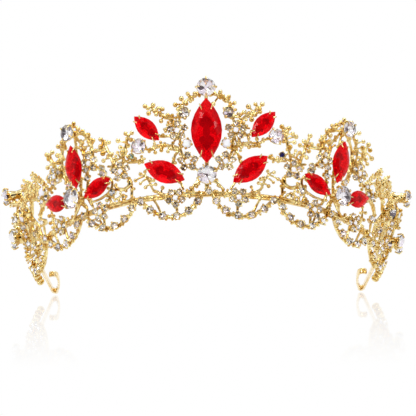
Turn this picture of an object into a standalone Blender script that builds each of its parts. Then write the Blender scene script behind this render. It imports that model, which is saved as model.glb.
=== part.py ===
"""Bridal tiara: an open horseshoe band with cast filigree, hanging scallops and claw-set stones.

The tiara is laid out on its face, a cone that flares upwards from the head circle. A place on
the face is (along, up, out) in millimetres: along the band from the front middle, up the face
from the head circle, and out from the face. Every solid is modelled in the head circle's own
frame, and one empty, wear_tilt, leans them all back as the tiara sits on a head.
World frame: metres, +Z up, -Y is the front, and the origin is the middle of the head circle.
"""
import math

import bmesh
import bpy
from mathutils import Matrix, Vector

MM = 0.001

# Overall sizes, in mm and degrees.
HEAD_RADIUS = 72.5          # head circle, where the filigree stands on the band
FLARE = 13.0                # lean of the face away from the head
DRAWN_RADIUS = 72.5         # head circle that the places along the band were laid out on
STONE_LEVEL = 4.0           # the stones keep their spacing this far out from the face
WEAR_TILT = 24.0            # lean of the whole tiara, front up
GAP = 0.3                   # between any two separate pieces

# Headband strip.
BAND_HEIGHT = 2.4
BAND_THICKNESS = 1.0
BAND_MIDDLE = -0.4          # height of the strip's middle above the head circle
BAND_SETBACK = 1.5          # from the head circle in to the strip's outer face
BAND_ARC = 88.0             # degrees from the front to where each arm turns straight
ARM_LENGTH = 14.0
ARM_TURN_IN = 8.0           # degrees
EYELET_LENGTH = 15.0        # straight part of the long rolled eye
EYELET_WIDTH = 5.0          # between the middles of the eye's two sides
BAND_STEP = 5.0             # degrees between points on the head circle
HALF_TURN_STEPS = 8         # steps of the eye's far end, a half turn
CURL_STEPS = 3              # steps of its near end, which stays clear of the arm's inner face

# Filigree.
STEM = 1.2                  # thickness of a stem
THIN_STEM = 1.0             # thickness of the sprays that rise from the scallops
BOLD_STEM = 1.7             # thickness of scrolls, the centre spine and the tails
FOOT_HEIGHT = 1.15          # where stems end above the strip's front
FOOT_BACK = -0.4            # and how far back towards the strip they reach
BACK_OUT = STEM / 2 + GAP + 0.1   # front pieces start here, clear of the stems behind

# Stones: length, width, crown height and pavilion depth. A round stone has one diameter.
GIRDLE = 0.3
TABLE = 0.55                # table outline over girdle outline
KEEL = 0.16                 # keel outline over girdle outline
CENTRE_NAVETTE = dict(length=26.4, width=12.4, crown=1.5, pavilion=2.9)
MEDIUM_NAVETTE = dict(length=18.0, width=8.8, crown=1.2, pavilion=2.1)
SMALL_NAVETTE = dict(length=14.6, width=7.0, crown=1.0, pavilion=1.7)
ROUND_LARGE = dict(length=8.0, width=8.0, crown=1.2, pavilion=2.4)
ROUND_CREST = dict(length=7.4, width=7.4, crown=1.2, pavilion=2.2)
ROUND_SPIRE = dict(length=6.5, width=6.5, crown=1.0, pavilion=2.0)
ROUND_SHOULDER = dict(length=6.0, width=6.0, crown=1.0, pavilion=1.8)
STUD_TAPER = 0.72           # back over front of a small stone cast with its stem
MIDDLE_STONE = 4.5
TIP_STONE = 5.0
OPAL_STONE = 3.6
SMALL_OPAL_STONE = 2.2
LARGE_OPAL_STONE = 4.0
BEAD_STONE = 3.2
SCALLOP_STONE = 2.9
FLOWER_RADIUS = 3.35        # five-lobed flower setting: mean radius and lobe depth
FLOWER_LOBE = 0.75
FLOWER_DEPTH = 1.4
FLOWER_POINTS = 20

# Settings.
CUP_WALL = 0.5
CUP_GRIP = 0.72             # share of the pavilion that the cup covers
SECTION_POINTS = 12         # points round a stone or a cup
CLAW_SEGMENTS = (1, 4, 7, 10)
CLAW_WIDTH = 0.9
CLAW_THICKNESS = 0.25       # left over the crown, above the gap
UNDER_GIRDLE = -0.1         # where a claw reaches its full width
CUP_ROOM = 1.3 * GAP        # from a pavilion to its cup, level with the girdle
CLAW_REACH = 0.86           # a claw tip's place over the crown, from the middle to the girdle
GOBLET_FOOT = 1.3           # radius of a goblet's foot
GOBLET_BACK = -0.35         # where a goblet's foot starts inside the stems

# Places of the stones on each side, (along, up); a turn is degrees above the band.
# The stones are set by hand, so left and right differ a little.
CREST_FOOT_UP = 5.9
SIDES = {"left": -1, "right": 1}
UPPER = {"left": (21.4, 26.4, 49), "right": (20.3, 27.4, 51)}
LOWER = {"left": (15.8, 8.0, 27), "right": (16.2, 8.8, 41)}
SHOULDER = {"left": (24.9, 19.7), "right": (25.3, 23.2)}
UPRIGHT = {"left": (53.3, 18.4, 91), "right": (53.6, 19.4, 86)}
INNER = {"left": (43.8, 6.9, 161), "right": (44.0, 7.5, 158)}
OUTER = {"left": (65.6, 7.2, 17), "right": (65.6, 7.8, 22)}
SPIRE = {"left": (53.2, 32.6), "right": (54.8, 33.6)}
SIDE_ROUND = (54.7, 5.4)
END_FINIAL = {"left": (103.5, 27.7), "right": (103.5, 25.0)}
END_ROUND = {"left": (110.0, 11.2), "right": (110.0, 7.4)}
END_MIDDLE = (93.0, 13.0)
MIDDLE = (7.8, 31.4)
OPAL = (7.2, 19.0)
FLOWERS = {
    "upper_flower": (10.5, 24.5), "lower_flower": (7.0, 11.6), "junction_flower": (33.4, 11.2),
    "side_inner_flower": (46.6, 17.9), "side_outer_flower": (65.0, 18.6),
}

# Height of each girdle above the face, over the stems that it stands in front of.
CENTRE_OUT = BACK_OUT + 3.0
NAVETTE_OUT = BACK_OUT + 2.1
CREST_OUT = BACK_OUT + 2.8
SHOULDER_OUT = BACK_OUT + 2.6
SPIRE_OUT = BACK_OUT + 3.2
SIDE_ROUND_OUT = BACK_OUT + 5.0
END_ROUND_OUT = BACK_OUT + 5.4

# Scallops: one pattern, hung four times on each side. Places are from the scallop's start.
SCALLOP_STARTS = (2.0, 28.8, 55.8, 82.8)
SCALLOP_WIDTH = 25.4
SCALLOP_TOP = -0.75
SCALLOP_DROPS = ((1.6, -4.3), (5.3, -8.0), (10.2, -9.8), (15.8, -9.2), (20.8, -6.2), (24.4, -2.3))
SCALLOP_FLOWERS = ((10.3, -2.6), (15.6, -2.8), (11.4, -1.6), (11.0, -2.6))
SCALLOP_SPRAYS = ((18.0, 21.0), (9.0, 11.0), (20.4, 18.4), (5.5, 7.5))

CREST_FOOT_TOP = CREST_FOOT_UP + ROUND_CREST["width"] / 2
CENTRE_UP = CREST_FOOT_TOP + GAP + CUP_WALL + CENTRE_NAVETTE["length"] / 2
FINIAL_UP = CENTRE_UP + CENTRE_NAVETTE["length"] / 2 + GAP + CUP_WALL + ROUND_CREST["width"] / 2

for old in list(bpy.data.objects):
    bpy.data.objects.remove(old)
tiara = bpy.data.collections.new("bridal_tiara")
bpy.context.scene.collection.children.link(tiara)
workshop = bpy.data.collections.new("joining_pieces")
bpy.context.scene.collection.children.link(workshop)

wear_tilt = bpy.data.objects.new("wear_tilt", None)
wear_tilt.rotation_euler.x = -math.radians(WEAR_TILT)
tiara.objects.link(wear_tilt)


def metal_or_stone(name, colour, roughness, metallic):
    material = bpy.data.materials.new(name)
    material.use_nodes = True
    surface = material.node_tree.nodes["Principled BSDF"]
    surface.inputs["Base Color"].default_value = (*colour, 1)
    surface.inputs["Roughness"].default_value = roughness
    surface.inputs["Metallic"].default_value = metallic
    return material


GOLD = ("gold_plate", (0.82, 0.56, 0.17), 0.18, 1.0)
RED = ("red_glass", (0.70, 0.006, 0.012), 0.05, 0.0)
CLEAR = ("clear_crystal", (0.85, 0.86, 0.90), 0.04, 0.0)


def add_piece(name, mesh, finish):
    """Make a named part of the tiara from a mesh that lies in the head circle's frame."""
    mesh.materials.clear()
    mesh.materials.append(metal_or_stone(name + "_" + finish[0], *finish[1:]))
    piece = bpy.data.objects.new(name, mesh)
    piece.parent = wear_tilt
    tiara.objects.link(piece)
    return piece


def band_angle(along):
    """Radians round the head circle for a distance along the band.

    Stones stand out from the face, so a larger circle is given the same spacing at their level.
    """
    return along * (1 + STONE_LEVEL / DRAWN_RADIUS) / (HEAD_RADIUS + STONE_LEVEL)


def on_face(along, up, out=0.0):
    """A point of the flared face, in metres in the head circle's frame."""
    angle = band_angle(along)
    flare = math.radians(FLARE)
    radius = HEAD_RADIUS + up * math.sin(flare) + out * math.cos(flare)
    height = up * math.cos(flare) - out * math.sin(flare)
    return Vector((radius * math.sin(angle), -radius * math.cos(angle), height)) * MM


def setting_frame(along, up, out=0.0, turn=0.0):
    """The place of a setting: local X runs along its length and local Z points out of the face."""
    angle = band_angle(along)
    upright = Matrix.Rotation(math.radians(90 + FLARE), 4, "X")
    around = Matrix.Rotation(angle, 4, "Z")
    spin = Matrix.Rotation(math.radians(turn), 4, "Z")
    return Matrix.Translation(on_face(along, up, out)) @ around @ upright @ spin


def finished(bm, frame=None):
    """Close a bmesh's normals outwards, place it, and hand back its mesh."""
    bmesh.ops.recalc_face_normals(bm, faces=bm.faces)
    if frame:
        bm.transform(frame)
    mesh = bpy.data.meshes.new("shape")
    bm.to_mesh(mesh)
    bm.free()
    return mesh


def outline(half_length, half_width, height, pointed):
    """One section of a stone or cup: a circle, or a navette that comes to a point at each end."""
    points = []
    for i in range(SECTION_POINTS):
        angle = 2 * math.pi * i / SECTION_POINTS
        across = math.sin(angle)
        if pointed:
            across *= abs(across)
        points.append(Vector((half_length * math.cos(angle), half_width * across, height)) * MM)
    return points


def loft(sections, closed_round):
    """Skin a stack of sections. The ends are capped, or the last section joins the first."""
    bm = bmesh.new()
    rings = [[bm.verts.new(point) for point in section] for section in sections]
    pairs = list(zip(rings, rings[1:]))
    if closed_round:
        pairs.append((rings[-1], rings[0]))
    else:
        bm.faces.new(rings[0])
        bm.faces.new(rings[-1])
    for lower, upper in pairs:
        for i in range(len(lower)):
            j = (i + 1) % len(lower)
            bm.faces.new((lower[i], lower[j], upper[j], upper[i]))
    bmesh.ops.recalc_face_normals(bm, faces=bm.faces)
    return bm, rings


def cut_stone(name, size, frame, finish, pointed):
    """A cut stone with its girdle's lower edge at the frame's height."""
    half_length = size["length"] / 2
    half_width = size["width"] / 2
    levels = ((KEEL, -size["pavilion"]), (1, 0), (1, GIRDLE), (TABLE, GIRDLE + size["crown"]))
    sections = [outline(half_length * share, half_width * share, height, pointed)
                for share, height in levels]
    bm, _rings = loft(sections, closed_round=False)
    return add_piece(name, finished(bm, frame), finish)


def edge_point(size, reach, angle, pointed):
    """A point over or beside a stone's edge, and the edge's direction there."""
    def place(turn):
        across = math.sin(turn) * (abs(math.sin(turn)) if pointed else 1)
        return Vector((size["length"] * math.cos(turn), size["width"] * across)) * reach / 2
    return place(angle), (place(angle + 0.01) - place(angle - 0.01)).normalized()


def raise_claws(bm, rim, inner_rim, size, pointed):
    """Draw four claws out of a cup's rim: past the girdle, up beside it and in over the crown."""
    over_crown = GIRDLE + size["crown"] * (1 - CLAW_REACH) / (1 - TABLE) + GAP + CLAW_THICKNESS
    steps = ((1, GAP, UNDER_GIRDLE), (1, GAP, GIRDLE + GAP), (CLAW_REACH, 0, over_crown))
    for i in CLAW_SEGMENTS:
        j = (i + 1) % len(rim)
        roles = {rim[i]: (1, -1), rim[j]: (1, 1), inner_rim[j]: (0, 1), inner_rim[i]: (0, -1)}
        face = next(f for f in rim[i].link_faces if set(f.verts) == set(roles))
        corners = [roles[vert] for vert in face.verts]
        for reach, room, height in steps:
            edge, along = edge_point(size, reach, 2 * math.pi * (i + 0.5) / len(rim), pointed)
            away = Vector((along.y, -along.x))
            face = bmesh.ops.extrude_discrete_faces(bm, faces=[face])["faces"][0]
            for vert, (outer, end) in zip(face.verts, corners):
                place = edge + away * (room + CUP_WALL * outer) + along * (end * CLAW_WIDTH / 2)
                vert.co = Vector((place.x, place.y, height)) * MM


def claw_collar(name, size, frame, out):
    """An open-backed cup for a navette: a tapered collar round the pavilion, and four claws."""
    half_length = size["length"] / 2
    half_width = size["width"] / 2
    slope = (1 - KEEL) / size["pavilion"]
    rim_height = -size["pavilion"] * (1 - CUP_GRIP)
    foot_height = max(BACK_OUT - out, -size["pavilion"])
    levels = ((foot_height, CUP_WALL), (rim_height, CUP_WALL), (rim_height, 0), (foot_height, 0))
    sections = []
    for height, wall in levels:
        share = 1 + slope * height
        room = wall + CUP_ROOM
        sections.append(outline(half_length * share + room, half_width * share + room, height, True))
    bm, rings = loft(sections, closed_round=True)
    raise_claws(bm, rings[1], rings[2], size, True)
    return add_piece(name, finished(bm, frame), GOLD)


def goblet(size, frame, out):
    """A raised cup for a round stone, with a narrow foot, a pocket and four claws."""
    radius = size["width"] / 2
    slope = radius * (1 - KEEL) / size["pavilion"]
    rim = -size["pavilion"] * (1 - CUP_GRIP)
    floor = -size["pavilion"] - GAP
    pocket = radius + slope * rim + CUP_ROOM
    bottom = radius * KEEL + CUP_ROOM
    levels = ((GOBLET_FOOT, GOBLET_BACK - out), (GOBLET_FOOT, BACK_OUT - out),
              (max(bottom + 2 * CUP_WALL, GOBLET_FOOT), floor),
              (pocket + CUP_WALL, rim), (pocket, rim), (bottom, floor))
    bm, rings = loft([outline(r, r, height, False) for r, height in levels], closed_round=False)
    raise_claws(bm, rings[3], rings[4], size, False)
    return finished(bm, frame)


def stud(diameter, along, up, front, back=-0.3):
    """A small claw-set stone cast with its stem, as one tapered plug."""
    bm = bmesh.new()
    depth = (front - back) * MM
    bmesh.ops.create_cone(bm, cap_ends=True, segments=6, radius1=diameter / 2 * STUD_TAPER * MM,
                          radius2=diameter / 2 * MM, depth=depth)
    return finished(bm, setting_frame(along, up, (front + back) / 2))


def evaluated_mesh(holder):
    """The mesh of an object as its curve settings and modifiers give it, and the object goes."""
    shown = holder.evaluated_get(bpy.context.evaluated_depsgraph_get())
    mesh = bpy.data.meshes.new_from_object(shown)
    mesh.transform(holder.matrix_world)
    bpy.data.objects.remove(holder)
    return mesh


def stem(side, points, thickness=STEM):
    """A round stem along (along, up) or (along, up, out) points on one side of the face."""
    curve = bpy.data.curves.new("stem", "CURVE")
    curve.dimensions = "3D"
    curve.bevel_depth = thickness / 2 * MM
    curve.bevel_resolution = 0
    curve.use_fill_caps = True
    curve.resolution_u = 1 if len(points) > 3 else 2
    spline = curve.splines.new("BEZIER")
    spline.bezier_points.add(len(points) - 1)
    for knot, place in zip(spline.bezier_points, points):
        knot.co = on_face(side * place[0], *place[1:])
        knot.handle_left_type = "AUTO"
        knot.handle_right_type = "AUTO"
    holder = bpy.data.objects.new("stem", curve)
    workshop.objects.link(holder)
    mesh = evaluated_mesh(holder)
    bm = bmesh.new()
    bm.from_mesh(mesh)
    bmesh.ops.remove_doubles(bm, verts=bm.verts, dist=1e-6)
    return finished(bm)


def cast_together(name, meshes):
    """Join overlapping solids into one casting with an exact union."""
    operands = bpy.data.collections.new(name + "_operands")
    workshop.children.link(operands)
    body = bpy.data.objects.new(name, meshes[0])
    workshop.objects.link(body)
    for mesh in meshes[1:]:
        operands.objects.link(bpy.data.objects.new("operand", mesh))
    union = body.modifiers.new("union", "BOOLEAN")
    union.operation = "UNION"
    union.solver = "EXACT"
    union.operand_type = "COLLECTION"
    union.collection = operands
    mesh = evaluated_mesh(body)
    for used in list(operands.objects):
        bpy.data.objects.remove(used)
    bpy.data.collections.remove(operands)
    return add_piece(name, mesh, GOLD)


def flat_plate(points, thickness, frame):
    """A flat outline in mm, filled and given a thickness about its own plane."""
    curve = bpy.data.curves.new("plate", "CURVE")
    curve.dimensions = "2D"
    curve.fill_mode = "BOTH"
    curve.extrude = thickness / 2 * MM
    spline = curve.splines.new("POLY")
    spline.points.add(len(points) - 1)
    for knot, (x, y) in zip(spline.points, points):
        knot.co = (x * MM, y * MM, 0, 1)
    spline.use_cyclic_u = True
    holder = bpy.data.objects.new("plate", curve)
    workshop.objects.link(holder)
    mesh = evaluated_mesh(holder)
    bm = bmesh.new()
    bm.from_mesh(mesh)
    bmesh.ops.remove_doubles(bm, verts=bm.verts, dist=1e-6)
    return finished(bm, frame)


def flower_plate(frame, depth):
    """The outline of a flower setting: a circle with five shallow lobes."""
    points = []
    for i in range(FLOWER_POINTS):
        angle = 2 * math.pi * i / FLOWER_POINTS
        radius = FLOWER_RADIUS + FLOWER_LOBE * math.cos(5 * angle)
        points.append((radius * math.cos(angle), radius * math.sin(angle)))
    return flat_plate(points, depth, frame)


def along_axis(place, distance):
    """A point on a navette's long axis, from its middle towards its upper or outer end."""
    along, up, turn = place
    return (along + distance * math.cos(math.radians(turn)),
            up + distance * math.sin(math.radians(turn)))


def band_side():
    """The middle line of the strip's right half in plan, from the front to the eyelet's end."""
    radius = HEAD_RADIUS - BAND_SETBACK - BAND_THICKNESS / 2
    steps = round(BAND_ARC / BAND_STEP)
    line = []
    for i in range(steps + 1):
        angle = math.radians(BAND_ARC * i / steps)
        line.append((radius * math.sin(angle), -radius * math.cos(angle)))
    heading = math.radians(90 + ARM_TURN_IN)
    x, y = line[-1]
    turn_radius = EYELET_WIDTH / 2
    for length in (ARM_LENGTH, EYELET_LENGTH):
        x += length * math.cos(heading)
        y += length * math.sin(heading)
        line.append((x, y))
    for start in (heading, heading + math.pi):
        centre = (x - turn_radius * math.sin(start), y + turn_radius * math.cos(start))
        last = HALF_TURN_STEPS if start == heading else CURL_STEPS
        for i in range(1, last + 1):
            angle = start - math.pi / 2 + math.pi * i / HALF_TURN_STEPS
            line.append((centre[0] + turn_radius * math.cos(angle),
                         centre[1] + turn_radius * math.sin(angle)))
        x, y = line[-1]
        if start == heading:
            x -= EYELET_LENGTH * math.cos(heading)
            y -= EYELET_LENGTH * math.sin(heading)
            line.append((x, y))
    return line


def offset_line(line, distance):
    """The line moved sideways by a distance, with mitred corners."""
    moved = []
    for i, (x, y) in enumerate(line):
        before = Vector(line[max(i - 1, 0)])
        here = Vector((x, y))
        after = Vector(line[min(i + 1, len(line) - 1)])
        first = (here - before).normalized() if i > 0 else (after - here).normalized()
        second = (after - here).normalized() if i < len(line) - 1 else first
        normal = Vector((-first.y - second.y, first.x + second.x)).normalized()
        reach = distance / max(normal.dot(Vector((-first.y, first.x))), 0.5)
        moved.append((x + normal.x * reach, y + normal.y * reach))
    return moved


def make_headband():
    """One flat strip round the head, whose ends run straight and roll into long eyelets."""
    right = band_side()
    left = [(-x, y) for x, y in reversed(right[1:])]
    line = left + right
    edge = offset_line(line, BAND_THICKNESS / 2)
    other = offset_line(line, -BAND_THICKNESS / 2)
    frame = Matrix.Translation((0, 0, BAND_MIDDLE * MM))
    add_piece("headband_strip", flat_plate(edge + other[::-1], BAND_HEIGHT, frame), GOLD)


def make_crest():
    """The centre casting: spine, branching stems, and the cups of its four round stones."""
    parts = [stem(1, [(0, FOOT_HEIGHT, FOOT_BACK), (0, CREST_FOOT_UP), (0, CENTRE_UP),
                      (0, FINIAL_UP)], BOLD_STEM)]
    for up, out in ((CREST_FOOT_UP, CREST_OUT), (FINIAL_UP, CREST_OUT)):
        parts.append(goblet(ROUND_CREST, setting_frame(0, up, out), out))
    for name, side in SIDES.items():
        upper = FLOWERS["upper_flower"]
        lower = FLOWERS["lower_flower"]
        shoulder = SHOULDER[name]
        fork = (9.9, 17.4)
        parts += [
            stem(side, [(0.2, FINIAL_UP - 1.5), (4.5, 38.6), (8.7, 35.2), (9.6, 31), upper]),
            stem(side, [upper, (13.2, 29.5), (16.5, 32.3), (19.6, 35.2)]),
            stem(side, [upper, (14.2, 23.0), along_axis(UPPER[name], -3), along_axis(UPPER[name], 4)]),
            stem(side, [upper, (9.9, 21), fork, (8.8, 14.4), lower, (3.4, 8.4), (0.2, 6.2)]),
            stem(side, [(10.2, 19.4), OPAL]),
            stem(side, [fork, (13.5, 19), (18.5, 18.9), (21.5, shoulder[1] - 1.5), shoulder]),
            stem(side, [fork, (12, 15), (13.0, 12), along_axis(LOWER[name], 0),
                        along_axis(LOWER[name], 6)]),
            stem(side, [along_axis(LOWER[name], 0), along_axis(LOWER[name], -5),
                        (9.4, FOOT_HEIGHT, FOOT_BACK)]),
            stem(side, [(0.4, 4.8), (3.8, 3.4), (6.2, FOOT_HEIGHT, FOOT_BACK)]),
            goblet(ROUND_SHOULDER, setting_frame(side * shoulder[0], shoulder[1], SHOULDER_OUT),
                   SHOULDER_OUT),
            stud(MIDDLE_STONE, side * MIDDLE[0], MIDDLE[1], 2.6),
            stud(OPAL_STONE, side * OPAL[0], OPAL[1], 1.9),
        ]
    cast_together("centre_crest_casting", parts)


def make_junction(name, side):
    """The spray between the centre crest and the side crest."""
    flower = FLOWERS["junction_flower"]
    parts = [
        stem(side, [(30.9, FOOT_HEIGHT, FOOT_BACK), (30.3, 4.5), (31.2, 8), flower, (33, 15.6),
                    (31.2, 20.6), (29.8, 26)]),
        stem(side, [(30.6, 7.2), (31.2, 5.2), (33.6, 4.2), (36, 4.8), (37.2, 6.4)], BOLD_STEM),
        stem(side, [flower, (37.0, 15.4), (38.5, 20.6), (40, 25.8)]),
        stem(side, [(33, 15.0), (30.8, 15.6), (29.0, 16.6)]),
        stem(side, [(36.4, 14.2), (39.6, 15.0)]),
        stem(side, [(36.8, 5.4), (37.9, 3.8)]),
        stud(SMALL_OPAL_STONE, side * 29.0, 16.6, 1.6),
        stud(BEAD_STONE, side * 38.0, 3.7, 1.9),
    ]
    cast_together("junction_casting_" + name, parts)


def make_side(name, side):
    """The side crest: two stems that frame the upright stone, its spire and its round stone."""
    inner = FLOWERS["side_inner_flower"]
    outer = FLOWERS["side_outer_flower"]
    spire = SPIRE[name]
    parts = [
        goblet(ROUND_SPIRE, setting_frame(side * spire[0], spire[1], SPIRE_OUT), SPIRE_OUT),
        goblet(ROUND_LARGE, setting_frame(side * SIDE_ROUND[0], SIDE_ROUND[1], SIDE_ROUND_OUT),
               SIDE_ROUND_OUT),
        stem(side, [(49.6, FOOT_HEIGHT, FOOT_BACK), (51, 5), (50.6, 9), (49.4, 14), (49.2, 20),
                    (50.0, 26), spire]),
        stem(side, [inner, (45.6, 22), (46.2, 26.5), (48.2, 30.6), spire]),
        stem(side, [(41.6, 15.3), (44.2, 15.8), inner, (49.6, 17.5)]),
        stem(side, [spire, (58.6, 30.8), (61.2, 26.5), (61.8, 21.5), (61, 16), (59.3, 11.5),
                    SIDE_ROUND]),
        stem(side, [outer, (66, 23.4), (68.8, 29.2)]),
        stem(side, [(61.4, 18.6), outer, (68.6, 16.8), (71.4, 15.4)]),
        stem(side, [SIDE_ROUND, along_axis(UPRIGHT[name], -5), along_axis(UPRIGHT[name], 6), spire]),
        stem(side, [along_axis(INNER[name], 4), along_axis(INNER[name], -3), SIDE_ROUND]),
        stem(side, [SIDE_ROUND, along_axis(OUTER[name], 0), along_axis(OUTER[name], 4.5)]),
        stem(side, [SIDE_ROUND, (54.2, 3), (53, FOOT_HEIGHT, FOOT_BACK)]),
        stem(side, [SIDE_ROUND, (57.6, 3.2), (59.4, FOOT_HEIGHT, FOOT_BACK)]),
    ]
    cast_together("side_crest_casting_" + name, parts)


def make_end(name, side):
    """The end casting: fern sprays, a scroll, three raised cups and the tail behind the ear."""
    finial, end_round = END_FINIAL[name], END_ROUND[name]
    parts = [
        goblet(ROUND_SPIRE, setting_frame(side * finial[0], finial[1], END_ROUND_OUT), END_ROUND_OUT),
        goblet(ROUND_LARGE, setting_frame(side * end_round[0], end_round[1], END_ROUND_OUT),
               END_ROUND_OUT),
        stud(LARGE_OPAL_STONE, side * 74.4, 15.6, 2.0),
        stud(BEAD_STONE, side * 76.3, 12.2, 2.0),
        stud(TIP_STONE, side * END_MIDDLE[0], END_MIDDLE[1], 3.6),
        stem(side, [(74.4, 15.6), (76.3, 12.2), (79.5, 16), (83.5, 20.5), (88, 24.6)]),
        stem(side, [(78.8, 15.2), (83, 16.8), (88.5, 18.6), (93.5, 21.5)]),
        stem(side, [(76.3, 12.2), (80.6, 10.8), (83.6, 8.2), (82.8, 4.8), (79.6, 4.2)], BOLD_STEM),
        stem(side, [(82.8, 4.6), (84, FOOT_HEIGHT, FOOT_BACK)]),
        stem(side, [(88.5, 18.6), END_MIDDLE, (97.5, 18.5), finial, (107, 17), end_round,
                    (111.4, 3)]),
        stem(side, [END_MIDDLE, (96, 6.5), (97.5, FOOT_HEIGHT, FOOT_BACK)]),
        stem(side, [(96, 6.5), (103, 6), end_round]),
        stem(side, [(111.2, 4), (112.6, 0.4), (119, -0.8), (125, -1.0), (130, -1.2)], BOLD_STEM),
    ]
    cast_together("end_casting_" + name, parts)


def make_scallop(number, name, side):
    """A hanging loop of wire with its six small stones, a flower and a rising spray."""
    start = SCALLOP_STARTS[number - 1]
    drops = [(start + along, up) for along, up in SCALLOP_DROPS]
    flower_along, flower_up = SCALLOP_FLOWERS[number - 1]
    flower = (start + flower_along, flower_up)
    spray_foot, spray_tip = (start + along for along in SCALLOP_SPRAYS[number - 1])
    bar = [(start + SCALLOP_WIDTH * i / 4, SCALLOP_TOP) for i in range(5)]
    nearest = min(drops, key=lambda drop: abs(drop[0] - flower[0]))
    parts = [
        stem(side, bar),
        stem(side, [bar[0]] + drops + [bar[-1]]),
        stem(side, [(flower[0], SCALLOP_TOP, 0.05), (flower[0], flower_up, 0.1), nearest]),
        stem(side, [(spray_foot, SCALLOP_TOP), ((spray_foot + spray_tip) / 2, 1.6),
                    (spray_tip, 4.2)], THIN_STEM),
        flower_plate(setting_frame(side * flower[0], flower_up, BACK_OUT), FLOWER_DEPTH),
    ]
    parts += [stud(SCALLOP_STONE, side * along, up, 1.8) for along, up in drops]
    cast_together(f"scallop_{number}_{name}", parts)


def set_stone(name, size, place, out, finish, side=1, pointed=True):
    """A stone at its place; a navette also gets its own claw collar."""
    turn = side * place[2] if len(place) > 2 else 0
    frame = setting_frame(side * place[0], place[1], out, turn)
    cut_stone(name + "_stone", size, frame, finish, pointed)
    if pointed:
        claw_collar(name + "_claw_cup", size, frame, out)


make_headband()
make_crest()
set_stone("centre_navette", CENTRE_NAVETTE, (0, CENTRE_UP, 90), CENTRE_OUT, RED)
set_stone("crest_finial_round", ROUND_CREST, (0, FINIAL_UP), CREST_OUT, CLEAR, pointed=False)
set_stone("crest_foot_round", ROUND_CREST, (0, CREST_FOOT_UP), CREST_OUT, CLEAR, pointed=False)
for name, side in SIDES.items():
    make_junction(name, side)
    make_side(name, side)
    make_end(name, side)
    for number in range(1, len(SCALLOP_STARTS) + 1):
        make_scallop(number, name, side)
    for navette, size, places in (("upper_navette_", SMALL_NAVETTE, UPPER),
                                  ("lower_navette_", MEDIUM_NAVETTE, LOWER),
                                  ("side_upright_navette_", MEDIUM_NAVETTE, UPRIGHT),
                                  ("side_inner_navette_", SMALL_NAVETTE, INNER),
                                  ("side_outer_navette_", SMALL_NAVETTE, OUTER)):
        set_stone(navette + name, size, places[name], NAVETTE_OUT, RED, side)
    for stone, size, place, out in (("shoulder_round_", ROUND_SHOULDER, SHOULDER[name], SHOULDER_OUT),
                                    ("side_spire_round_", ROUND_SPIRE, SPIRE[name], SPIRE_OUT),
                                    ("side_round_", ROUND_LARGE, SIDE_ROUND, SIDE_ROUND_OUT),
                                    ("end_finial_round_", ROUND_SPIRE, END_FINIAL[name], END_ROUND_OUT),
                                    ("end_round_", ROUND_LARGE, END_ROUND[name], END_ROUND_OUT)):
        set_stone(stone + name, size, place, out, CLEAR, side, pointed=False)
    for flower, (along, up) in FLOWERS.items():
        frame = setting_frame(side * along, up, BACK_OUT + FLOWER_DEPTH / 2)
        add_piece(flower + "_" + name, flower_plate(frame, FLOWER_DEPTH), GOLD)
bpy.context.view_layer.update()
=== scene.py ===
import math

import bpy
import numpy as np
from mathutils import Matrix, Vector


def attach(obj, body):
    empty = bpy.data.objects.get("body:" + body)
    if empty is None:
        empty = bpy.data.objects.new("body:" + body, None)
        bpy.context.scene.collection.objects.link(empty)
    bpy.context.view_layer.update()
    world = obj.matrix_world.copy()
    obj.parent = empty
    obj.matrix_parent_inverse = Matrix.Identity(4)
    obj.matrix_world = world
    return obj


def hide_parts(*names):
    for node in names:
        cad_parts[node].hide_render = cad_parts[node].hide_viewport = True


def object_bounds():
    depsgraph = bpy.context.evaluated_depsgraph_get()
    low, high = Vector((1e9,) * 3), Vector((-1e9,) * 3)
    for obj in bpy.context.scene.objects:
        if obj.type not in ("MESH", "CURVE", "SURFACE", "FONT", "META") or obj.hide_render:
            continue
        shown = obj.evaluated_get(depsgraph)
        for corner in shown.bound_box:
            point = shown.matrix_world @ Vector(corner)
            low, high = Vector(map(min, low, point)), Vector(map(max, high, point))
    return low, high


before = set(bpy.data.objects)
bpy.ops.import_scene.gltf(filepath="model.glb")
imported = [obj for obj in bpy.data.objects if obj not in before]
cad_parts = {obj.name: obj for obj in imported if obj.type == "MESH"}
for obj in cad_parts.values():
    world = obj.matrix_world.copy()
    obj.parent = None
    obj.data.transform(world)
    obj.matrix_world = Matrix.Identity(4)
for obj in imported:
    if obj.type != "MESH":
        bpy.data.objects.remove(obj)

cad_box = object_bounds()
rng = np.random.default_rng(41)

MM = 0.001
HEAD_RADIUS = 72.5
FLARE = math.radians(13.0)
WEAR_TILT = math.radians(24.0)
SIDES = {"left": -1, "right": 1}

# Thicknesses of the stems, in mm.
STEM = 1.25
BOLD_STEM = 1.8
THIN_STEM = 1.1
TWIG = 0.9
STEM_LUMPS = 0.10  # a share of the stem's own thickness
BACK_OUT = 1.0

# Stones: length, width, crown height and pavilion depth, in mm.
GIRDLE = 0.3
CENTRE_NAVETTE = (26.4, 12.4, 1.5, 2.9)
MEDIUM_NAVETTE = (18.0, 8.8, 1.2, 2.1)
SMALL_NAVETTE = (14.6, 7.0, 1.0, 1.7)
ROUND_LARGE = (8.0, 8.0, 1.2, 2.4)
ROUND_CREST = (7.4, 7.4, 1.2, 2.2)
ROUND_SPIRE = (6.5, 6.5, 1.0, 2.0)
ROUND_SHOULDER = (6.0, 6.0, 1.0, 1.8)
SCALLOP_STONE = 3.05
PETAL_STONE = 2.5
FLOWER_MIDDLE = 2.3
PETAL_RING = 2.75
GAP_RING = 2.35

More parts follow.
